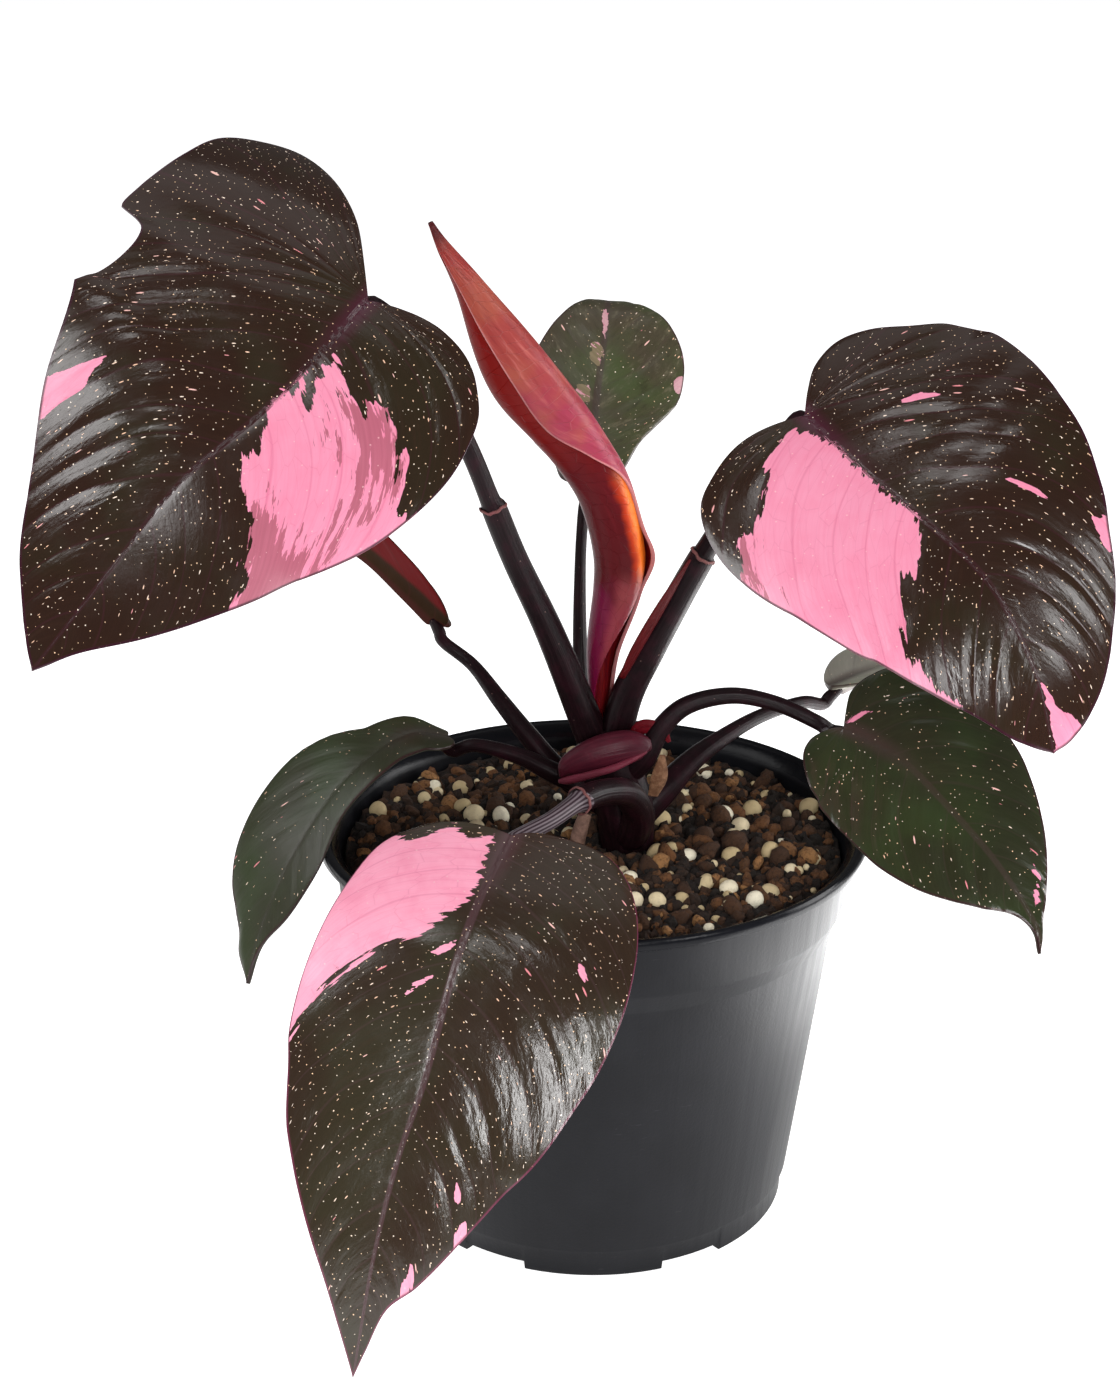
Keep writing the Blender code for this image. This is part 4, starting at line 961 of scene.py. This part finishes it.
    # Underside
    belly = mix(smooth(patchy, 0.4, 0.7), under, scaled(under, 1.5))
    if flank:
        belly = mix(smooth(from_rib + patchy * 2.0, 3.6, 5.6), belly, flank)
    belly = mix(on_vein * 0.35, belly, rib)
    belly = mix(rib_line * 0.8, belly, rib)
    belly = mix(in_pink * 0.65, belly, (0.42, 0.13, 0.18))
    colour = mix(below, colour, belly)

    # Relief and gloss
    waves = veined(0.07, 0.30, 2.0, 0.45)
    creases = veined(0.22, 0.34, 4.0, 0.6)
    combed = veined(0.20, 1.1, 3.0, 0.5)
    pores = noise(flat, 1.3, 2.0, 0.5)
    height = combed * 0.022 + (pores * 0.016 + (waves * wave + creases * crinkle) * calm)
    gloss = smooth(noise(flat, 0.12, 3.0, 0.6), 0.3, 0.8)
    roughness = gloss * 0.10 + (rough - 0.05) + below * 0.22 + in_pink * 0.16
    return look.finish(colour, roughness, Normal=look.bump(height), Specular_IOR_Level=spec)


def stalk_look(name):
    """Petiole skin: brown-purple with fine lengthwise lines, striped where it is pale."""
    dark, light, base = STALK_SKINS[name]
    look = Look(name)
    mix, smooth = look.mix, look.smooth
    run, angle, pale = look.marks("run")
    lines = look.noise(look.join(run * 0.03, angle * 4.0), 1.0, 3.0, 0.6)
    mottle = look.noise(look.place(), 0.25, 4.0, 0.6)
    colour = mix(smooth(lines, 0.4, 0.75), dark, light)
    colour = mix(smooth(mottle, 0.45, 0.7) * 0.5, colour, base)
    groove = look.math("SINE", angle * 15.0)
    striped = mix(smooth(groove, -0.5, 0.6), (0.040, 0.024, 0.032), (0.19, 0.155, 0.17))
    colour = mix(smooth(pale, 0.4, 0.6) * 0.85, colour, striped)
    specks, _ = flecks(look, run, angle * 2.0, 1.6, 1.6, 0.10, 0.12, 4)
    colour = mix(specks * 0.5, colour, (0.30, 0.18, 0.16))
    height = lines * 0.16 + look.noise(look.place(), 1.6) * 0.05
    return look.finish(colour, mottle * 0.16 + 0.30, Normal=look.bump(height),
                       Specular_IOR_Level=0.15)


def new_leaf_look():
    """The rolled leaf: salmon and magenta outside, dark red with painted shade where it turns in,
    orange edge.
    """
    look = Look("rolled_leaf")
    mix, smooth = look.mix, look.smooth
    height, share, inner = look.marks("roll")
    around = look.mark("around")
    at = look.place()
    cloud = look.noise(at, 0.13, 3.0, 0.6)
    level = height + (cloud - 0.5) * 20.0

    # Outside, from the foot up
    outer = (0.110, 0.004, 0.028)
    for low, high, tone in ((112.0, 124.0, (0.190, 0.010, 0.055)),
                            (128.0, 138.0, (0.38, 0.090, 0.070)),
                            (146.0, 158.0, (0.325, 0.040, 0.076)),
                            (166.0, 186.0, (0.300, 0.044, 0.039)),
                            (190.0, 208.0, (0.26, 0.030, 0.026))):
        outer = mix(smooth(level, low, high), outer, tone)
    warm = smooth(look.noise(at, 0.12, 3.0), 0.42, 0.72) * smooth(level, 150, 170)
    outer = mix(warm * 0.55, outer, (0.355, 0.092, 0.053))
    net = look.net(look.join(height * 0.42 + share * 6.0, share * 9.0))
    lines = smooth(net, 0.030, 0.0)
    threads = look.noise(look.join(height * 0.11 + share * 4.0, share * 22.0 + height * 0.05),
                         1.0, 3.0, 0.65)
    outer = mix(lines * 0.14, outer, (0.62, 0.24, 0.22))
    outer = mix(smooth(threads, 0.50, 0.72) * 0.50, outer, (0.56, 0.17, 0.15))
    outer = mix(smooth(threads, 0.48, 0.30) * 0.45, outer, (0.20, 0.020, 0.024))

    # Where it turns in: dark red, partly its own colour and partly painted shade under the free
    # margin
    deep_red_and_shade = mix(smooth(level, 128.0, 140.0), (0.170, 0.006, 0.042), (0.092, 0.003, 0.006))
    deep_red_and_shade = mix(smooth(level, 158.0, 172.0), deep_red_and_shade, (0.150, 0.0030, 0.0020))
    deep_red_and_shade = mix(smooth(threads, 0.5, 0.75) * 0.25, deep_red_and_shade, (0.16, 0.010, 0.016))
    outer = mix(smooth(around, -0.47, -0.53), outer, deep_red_and_shade)

    # The lit, orange strip of the free edge, and the pale one below it: partly own tone, partly
    # painted highlight
    turned = around + (cloud - 0.5) * 0.10
    lit = smooth(turned, -0.80, -0.85) * smooth(height, 134.0, 141.0)
    lit = lit * smooth(height, 160.0, 152.0)
    flame = mix(smooth(turned, -0.84, -0.91), (0.46, 0.034, 0.006), (0.92, 0.190, 0.016))
    outer = mix(lit, outer, flame)
    # Pale strip: partly the leaf's own salmon tone, partly painted highlight
    pale = smooth(turned, -0.68, -0.78) * smooth(height, 108.0, 124.0)
    pale = pale * smooth(height, 140.0, 134.0)
    outer = mix(pale * 0.60, outer, (0.40, 0.075, 0.080))

    inside = mix(smooth(threads, 0.4, 0.7), (0.190, 0.007, 0.008), (0.090, 0.003, 0.010))
    colour = mix(inner, outer, inside)
    colour = mix(smooth(share, 0.012, 0.003) * 0.75, colour, (0.62, 0.26, 0.26))
    colour = mix(smooth(height, 203.0, 207.0), colour, (0.085, 0.012, 0.014))
    return look.finish(colour, cloud * 0.15 + 0.27, Normal=look.bump(threads * 0.12 + lines * 0.06),
                       Subsurface_Weight=0.08, Subsurface_Scale=0.002, Specular_IOR_Level=0.13)


def plain_look(name):
    """A mottled surface of two colours."""
    first, second, scale, rough, bumpy = PLAIN_SKINS[name]
    look = Look(name)
    at = look.place()
    blotch = look.noise(at, scale, 4.0, 0.62)
    grit = look.noise(at, scale * 5, 3.0, 0.6)
    colour = look.mix(look.smooth(blotch, 0.4, 0.65), first, second)
    colour = look.mix(look.smooth(grit, 0.45, 0.75) * 0.45, colour, scaled(first, 0.55))
    return look.finish(colour, grit * 0.2 + (rough - 0.1),
                       Normal=look.bump((blotch + grit) * bumpy))


def pot_look():
    """Black moulded polypropylene: satin, faintly ribbed by its mould, scuffed and dusty."""
    look = Look("black_plastic")
    mix, smooth, noise = look.mix, look.smooth, look.noise
    at = look.place()
    x, y, z = look.split(at)
    around = look.math("ARCTAN2", y, x)
    streak = noise(look.join(around * 22.0, z * 0.015), 1.0, 3.0, 0.6)
    cloud = noise(at, 0.05, 3.0, 0.6)
    colour = mix(smooth(cloud, 0.35, 0.7), (0.0052, 0.0054, 0.0072), (0.0078, 0.0081, 0.0104))
    dust = smooth(noise(at, 2.2, 2.0, 0.7), 0.70, 0.80) * smooth(noise(at, 0.08, 2.0), 0.45, 0.65)
    colour = mix(dust * 0.35, colour, (0.13, 0.12, 0.115))
    scratch = noise(look.join(around * 9.0, z * 1.4), 1.0, 2.0, 0.5)
    lines = smooth(scratch, 0.70, 0.74) * smooth(cloud, 0.5, 0.62)
    colour = mix(lines * 0.25, colour, (0.06, 0.06, 0.065))
    on_rim = smooth(z, 80.6, 81.4)
    rough = smooth(streak, 0.3, 0.7) * 0.07 + (cloud * 0.12 + 0.33) + dust * 0.3 - on_rim * 0.24
    height = noise(at, 1.6, 3.0, 0.6) * 0.03 + streak * 0.03
    return look.finish(colour, rough, Normal=look.bump(height), Specular_IOR_Level=0.14)


# The pot

def pot_profile():
    """(radius, height) from the middle of the underside, out and up, and back inside."""
    foot, ring = FOOT_RADIUS, FOOT_RADIUS - FOOT_RING_WIDTH
    lip = RIM_TOP - RIM_HEIGHT
    ledge = RIM_RADIUS - RIM_LEDGE
    inside = COLLAR_RADIUS - WALL
    return [
        (0, 0), (PAD_RADIUS - 1, 0), (PAD_RADIUS - 0.4, 0.3), (PAD_RADIUS, FLOOR_UNDERSIDE),
        (ring, FLOOR_UNDERSIDE), (ring, 0.3), (ring + 0.3, 0), (foot - 0.4, 0), (foot, 0.4),
        (foot + 0.35, FOOT_RING_TOP - 0.1), (foot + 0.5, FOOT_RING_TOP + 0.15),
        (foot + 1.0, FOOT_RING_TOP + 0.35), (foot + 1.15, FOOT_RING_TOP + 0.8),
        (SHOULDER_RADIUS - 0.1, SHOULDER_FOOT - 0.4), (SHOULDER_RADIUS + 0.1, SHOULDER_FOOT + 0.1),
        (COLLAR_RADIUS - 1.4, SHOULDER_TOP - 0.5), (COLLAR_RADIUS - 1.1, SHOULDER_TOP + 0.3),
        (COLLAR_RADIUS - 0.05, lip - 0.4), (COLLAR_RADIUS + 0.5, lip),
        (RIM_RADIUS - 0.5, lip), (RIM_RADIUS - 0.05, lip + 0.35),
        (RIM_RADIUS + 0.05, RIM_TOP - 1.1), (RIM_RADIUS - 0.1, RIM_TOP - 0.35),
        (RIM_RADIUS - 0.45, RIM_TOP), (RIM_RADIUS - 0.9, RIM_TOP - 0.05),
        (ledge + 0.3, RIM_TOP - 0.35), (ledge - 0.3, RIM_TOP - 0.8),
        (inside + 0.2, lip - 0.4), (inside, lip - 1.2), (inside - 1.2, SHOULDER_TOP + 0.4),
        (SHOULDER_RADIUS - WALL, SHOULDER_FOOT + 0.4), (foot + 1.1 - WALL, FLOOR_TOP),
        (0, FLOOR_TOP),
    ]


def build_pot(look):
    """Moulded pot: rolled rim, collar, stepped shoulder, foot ring with notches, a pad below."""
    half = NOTCH_WIDTH / 2 / FOOT_RADIUS
    middles = [2 * math.pi * i / NOTCH_COUNT for i in range(NOTCH_COUNT)]
    edges = [(middle + side) % (2 * math.pi) for middle in middles
             for side in (-half - 0.004, -half, half, half + 0.004)]
    turns = np.linspace(0, 2 * math.pi, POT_SIDES, endpoint=False)
    turns = sorted([t for t in turns if min(abs(t - e) for e in edges) > 0.01] + edges)
    profile = pot_profile()
    points = []
    for radius, height in profile:
        on_ring = FOOT_RADIUS - FOOT_RING_WIDTH - 0.1 < radius < FOOT_RADIUS + 0.1
        for turn in turns:
            gap = min(abs((turn - middle + math.pi) % (2 * math.pi) - math.pi)
                      for middle in middles)
            notched = on_ring and height < NOTCH_HEIGHT and gap < half + 0.001
            points.append((radius * math.cos(turn), radius * math.sin(turn),
                           NOTCH_HEIGHT if notched else height))
    faces = ring_faces(len(profile), len(turns))
    obj = piece("pot_shell", points, faces, look, ["pot"])
    turn_outward(obj, POT_SHARP_DEG)


# The soil

def soil_height(x, y):
    swell = np.sin(0.21 * x + 1.3) * np.cos(0.17 * y - 0.6)
    ripple = np.sin(0.63 * x - 0.4 * y) * np.cos(0.52 * y + 0.3 * x)
    fall = 1.2 * (np.hypot(x, y) / COLLAR_RADIUS) ** 4
    return SOIL_TOP + 0.9 * (0.6 * swell + 0.6 * ripple) - fall


def lump(rng, subdivisions, rough, stretch):
    """Points and faces of one irregular crumb of radius 1."""
    ball = bmesh.new()
    bmesh.ops.create_icosphere(ball, subdivisions=subdivisions, radius=1.0)
    points = np.array([v.co[:] for v in ball.verts])
    faces = [tuple(v.index for v in f.verts) for f in ball.faces]
    ball.free()
    wave = rng.normal(0, 1, (4, 3)) * 1.6
    swell = 1 + rough * sum(np.sin(points @ w + rng.uniform(0, 6)) for w in wave) / 4
    points = points * swell[:, None] * np.array(stretch)
    turn = np.linalg.qr(rng.normal(0, 1, (3, 3)))[0]
    return points @ turn.T, faces


def scatter(rng, count, sizes, subdivisions, rough, stretch, sink, clear=0.0):
    """Crumbs over the soil. Returns their points, faces and a shade for each point."""
    points, faces, shades = [], [], []
    total = 0
    kinds = [lump(rng, subdivisions, rough, stretch) for _ in range(GRAIN_KINDS)]
    placed = []
    tries = 0
    while len(placed) < count and tries < count * 30:
        tries += 1
        size = rng.uniform(*sizes)
        radius = (GRAIN_EDGE - size) * math.sqrt(rng.random())
        turn = 2 * math.pi * rng.random()
        x, y = radius * math.cos(turn), radius * math.sin(turn)
        if math.hypot(x - STEM_CENTRE[0], y - STEM_CENTRE[1]) < STEM_CLEAR + size:
            continue
        if clear and any((x - a) ** 2 + (y - b) ** 2 < (clear * (size + c)) ** 2
                         for a, b, c in placed):
            continue
        placed.append((x, y, size))
        shape, ring = kinds[len(placed) % len(kinds)]
        spin = rng.uniform(0, 2 * math.pi)
        turned = shape @ np.array([[math.cos(spin), -math.sin(spin), 0],
                                   [math.sin(spin), math.cos(spin), 0], [0, 0, 1]])
        points.append(turned * size + (x, y, float(soil_height(x, y)) + sink * size))
        faces += [tuple(i + total for i in f) for f in ring]
        shades.append(np.full(len(shape), rng.random()))
        total += len(shape)
    return np.vstack(points), faces, np.concatenate(shades)


def crumb_look(name):
    """Loose grains whose colour differs from one to the next."""
    colours, rough, bumpy, grain, dirt = GRAIN_LOOKS[name]
    look = Look(name)
    shade = look.mark("shade")
    mottle = look.noise(look.place(), grain, 4.0, 0.65)
    colour = look.mix(look.smooth(shade, 0.25, 0.60), colours[0], colours[1])
    colour = look.mix(look.smooth(shade, 0.72, 0.85), colour, colours[2])
    colour = look.mix(look.smooth(mottle, 0.48, 0.66) * dirt, colour, scaled(colours[0], 0.42))
    return look.finish(colour, rough, Normal=look.bump(mottle * bumpy))


def build_soil():
    """The soil's surface with a plain hole for the stem, and the loose grain on it."""
    rng = np.random.default_rng(SEED)
    radii = np.linspace(STEM_HOLE, SOIL_RADIUS, SOIL_RINGS)
    turn = np.linspace(0, 2 * math.pi, SOIL_SIDES, endpoint=False)
    shrink = np.clip((radii - STEM_HOLE) / 20, 0, 1)
    x = radii[:, None] * np.cos(turn) + STEM_CENTRE[0] * (1 - shrink)[:, None]
    y = radii[:, None] * np.sin(turn) + STEM_CENTRE[1] * (1 - shrink)[:, None]
    rough = sum(a * np.sin(x * p + y * q + r) for a, p, q, r in
                ((0.30, 1.1, 0.7, 0.3), (0.26, -0.8, 1.3, 2.0), (0.22, 1.9, -1.6, 1.0),
                 (0.18, 2.7, 2.1, 0.5)))
    z = soil_height(x, y) + rough + rng.normal(0, SOIL_GRIT, x.shape)
    z[0] -= HOLE_DROP
    z[-1] -= EDGE_DROP
    points = np.stack([x, y, z], -1).reshape(-1, 3)
    looks = {name: crumb_look(name) for name in GRAIN_LOOKS}
    faces = ring_faces(SOIL_RINGS, SOIL_SIDES, flip=True)
    piece("soil_bed", points, faces, looks["peat"], ["soil"],
          {"shade": rng.random(len(points)) * 0.7})
    for name, (look, count, sizes, shape) in GRAIN.items():
        points, faces, shades = scatter(rng, count, sizes, **shape)
        piece(name, points, faces, looks[look], (), {"shade": shades},
              flat=name == FLAT_SHADED)


# The foliage

def build_stems(look):
    """Stem and petioles, with the swollen sheath ends that ring them."""
    points, faces, marks = [], [], []
    count = 0

    def put(rows, sides, samples, profile=None, pale_before=None):
        nonlocal count
        made, run = tube_points(rows, sides, samples, profile=profile)
        run[:, 2] = 0.0 if pale_before is None else made[:, 1] < pale_before
        faces.extend(tube_faces(sides, samples, count))
        points.append(made)
        marks.append(run)
        count += len(made)

    def knotted(run, ring):
        knots = sum(np.exp(-((run - knot) / 1.2) ** 2) for knot in STEM_KNOTS)
        return 1 + 0.04 * np.sin(3 * ring + run * 0.3) + 0.03 * knots

    put(STEM, STEM_SIDES, STEM_SAMPLES, knotted)
    for name, rows in PETIOLES.items():
        leaf = LEAVES[name]
        radius = leaf["petiole_radius"]
        middle, tangent, _, up = (v[0] for v in Blade(leaf).frame(np.array([0.0])))
        end = middle - up * (BLADE_THICKNESS / 2 + 0.3 + radius) - tangent * 0.3
        before = end - tangent * 2.4 - up * 0.9
        seat = middle - up * (BLADE_THICKNESS / 2 + radius * 0.55) + tangent * 2.5
        run = rows + [(*before, radius), (*end, radius), (*seat, radius * 0.8)]
        pale = name == PALE_PETIOLE
        grooves = PALE_GROOVES if pale else PETIOLE_GROOVES
        put(run, PETIOLE_SIDES, PETIOLE_SAMPLES,
            lambda at, ring, n=grooves: 1 + 0.018 * np.cos(n * ring),
            pale_before=PALE_BEFORE_Y if pale else None)
    piece("stem_and_petioles", np.vstack(points), faces, look, ["crown_and_petioles"],
          {"run": np.vstack(marks)})


def build_new_leaf(look):
    """The youngest leaf: one sheet rolled round itself, with a ruffled free margin."""
    stations, steps = ROLL_STATIONS, ROLL_STEPS
    rows = spaced(smooth_run([(*p, r, a, b) for p, r, a, b in ROLL], 12), stations)
    side = np.array((1.0, 0.0, 0.0))
    points, marks = [], []
    for i, row in enumerate(rows):
        tangent = unit(rows[min(i + 1, stations - 1)][:3] - rows[max(i - 1, 0)][:3])
        right = unit(side - tangent * (side @ tangent))
        front = unit(np.cross(right, tangent))
        radius, start, end = row[3:6]
        thick = min(ROLL_THICKNESS, radius * 0.5)
        share = np.linspace(0, 1, steps + 1)
        turn = 2 * math.pi * (start + (end - start) * share)
        inward = ROLL_PITCH * max(0.0, abs(end - start) - 0.75) * share
        ruffle = 1.9 * math.exp(-((row[2] - EAR_HEIGHT) / 4.0) ** 2) * np.exp(-share / 0.06)
        ripple = 0.10 * np.sin(2.2 * turn + row[2] * 0.25) * min(1.0, radius / 4)
        loose = 2.9 * math.exp(-((row[2] - LOOSE_HEIGHT) / 12.0) ** 2)
        ruffle = ruffle + loose * np.exp(-((turn / (2 * math.pi) + 0.54) / 0.10) ** 2)
        out = np.cos(turn)[:, None] * right + np.sin(turn)[:, None] * front
        for layer, offset in ((0.0, 0.0), (1.0, thick)):
            points.append(row[:3] + out * (radius - inward + ruffle + ripple - offset)[:, None])
            marks.append(np.stack([np.full(steps + 1, row[2]), share, np.full(steps + 1, layer),
                                   turn / (2 * math.pi)], -1))
    width = steps + 1
    faces = []
    for i in range(stations - 1):
        for k in range(steps):
            a = 2 * i * width + k
            faces.append((a, a + 1, a + 1 + 2 * width, a + 2 * width))
            b = a + width
            faces.append((b, b + 2 * width, b + 1 + 2 * width, b + 1))
        for k in (0, steps):
            a = 2 * i * width + k
            faces.append((a, a + 2 * width, a + 3 * width, a + width))
    for i in (0, stations - 1):
        a = 2 * i * width
        for k in range(steps):
            faces.append((a + k, a + k + 1, a + width + k + 1, a + width + k))
    marks = np.vstack(marks)
    obj = piece("new_leaf_roll", np.vstack(points), faces, look, ["new_leaf"],
                {"roll": marks[:, :3], "around": marks[:, 3]})
    turn_outward(obj)


def build_collars(look):
    """The torn pale edge where a sheath ends on its petiole."""
    turns, sides = 60, 10
    turn = np.linspace(0, 2 * math.pi, turns, endpoint=False)
    lean = 0.35 * np.sin(turn + 0.6) + 0.22 * np.sin(3 * turn) + 0.12 * np.sin(8 * turn)
    points, faces, marks = [], [], []
    for middle, axis, radius in COLLARS:
        axis = unit(np.array(axis, float))
        right = unit(np.cross(axis, (0.2, 1.0, 0.1)))
        front = np.cross(axis, right)
        around = np.cos(turn)[:, None] * right + np.sin(turn)[:, None] * front
        path = np.array(middle, float) + around * (radius + 0.10) + axis * lean[:, None]
        faces += ring_faces(turns, sides, len(points), joined=True)
        for k, place in enumerate(path):
            for angle in np.linspace(0, 2 * math.pi, sides, endpoint=False):
                points.append(place + COLLAR_THICK * (math.cos(angle) * around[k]
                                                      + 1.6 * math.sin(angle) * axis))
                marks.append((turn[k] * radius, angle, 0.0))
    piece("sheath_collars", points, faces, look, (), {"run": np.array(marks)})


def build_small_parts():
    for name, tube in SMALL_TUBES.items():
        points, marks = tube_points(tube["rows"], TUBE_SIDES, TUBE_SAMPLES, **tube["shape"])
        marks[:, 2] = 0.0
        skin = tube["skin"]
        look = stalk_look(skin) if skin in STALK_SKINS else plain_look(skin)
        piece(name, points, tube_faces(TUBE_SIDES, TUBE_SAMPLES), look,
              [tube["node"]] if tube["node"] else (), {"run": marks})


# The studio

def area_light(name, at, aim, size, power):
    data = bpy.data.lights.new(name, "AREA")
    data.shape = "RECTANGLE"
    data.size, data.size_y = size
    data.energy = power
    lamp = bpy.data.objects.new(name, data)
    bpy.context.scene.collection.objects.link(lamp)
    at, aim = np.array(at, float), np.array(aim, float)
    back = unit(at - aim)
    right = unit(np.cross((0, 0, 1), back))
    turned = np.eye(4)
    turned[:3] = np.stack([right, np.cross(back, right), back, at], 1)
    lamp.matrix_world = Matrix(turned.tolist())


def floor_look():
    """White and glowing where the camera sees it, and grey nearer, to keep the gloss dark."""
    look = Look("pale_floor")
    in_metres = look.place(MM)
    _, depth, _ = look.split(in_metres)
    lit = look.smooth(depth, FLOOR_DARK, FLOOR_BRIGHT)
    shade = look.mix(look.noise(in_metres, 2.0, 2.0), (0.90, 0.90, 0.905), (0.92, 0.92, 0.92))
    shade = look.mix(lit, (0.16, 0.16, 0.16), shade)
    glow = look.mix(lit, (0.0, 0.0, 0.0), (1.0, 1.0, 1.0))
    return look.finish(shade, 0.8, Specular_IOR_Level=0.0, Emission_Strength=FLOOR_GLOW,
                       Emission_Color=glow)


def build_studio():
    scene = bpy.context.scene
    data = bpy.data.cameras.new("camera")
    data.sensor_fit = "VERTICAL"
    data.sensor_width = 36.0
    data.sensor_height = 36.0
    data.lens = CAMERA_LENS
    data.clip_start, data.clip_end = 0.01, 20.0
    camera = bpy.data.objects.new("camera", data)
    camera.location = [c * MM for c in CAMERA_AT]
    camera.rotation_euler = (math.radians(90 - CAMERA_PITCH_DEG), 0, 0)
    scene.collection.objects.link(camera)
    scene.camera = camera

    bpy.ops.mesh.primitive_plane_add(size=FLOOR_SIZE, location=FLOOR_MIDDLE)
    floor = bpy.context.active_object
    floor.name = "studio_floor"
    floor.data.materials.append(floor_look())

    world = bpy.data.worlds.new("studio")
    world.use_nodes = True
    scene.world = world
    background = world.node_tree.nodes["Background"]
    background.inputs["Color"].default_value = (1.0, 1.0, 1.0, 1.0)
    background.inputs["Strength"].default_value = WORLD_STRENGTH
    for name, values in LIGHTS.items():
        area_light(name, *values)
    scene.view_settings.view_transform = "Standard"
    scene.view_settings.look = "None"


def main():
    build_studio()
    build_pot(pot_look())
    build_soil()
    build_stems(stalk_look("petiole_skin"))
    looks = {name: leaf_look(name, **values) for name, values in LEAF_LOOKS.items()}
    for name, look, slot, fine in LEAF_BUILDS:
        build_leaf(name, looks[look], fine)
    build_new_leaf(new_leaf_look())
    build_small_parts()
    build_collars(stalk_look("collar_edge"))


main()
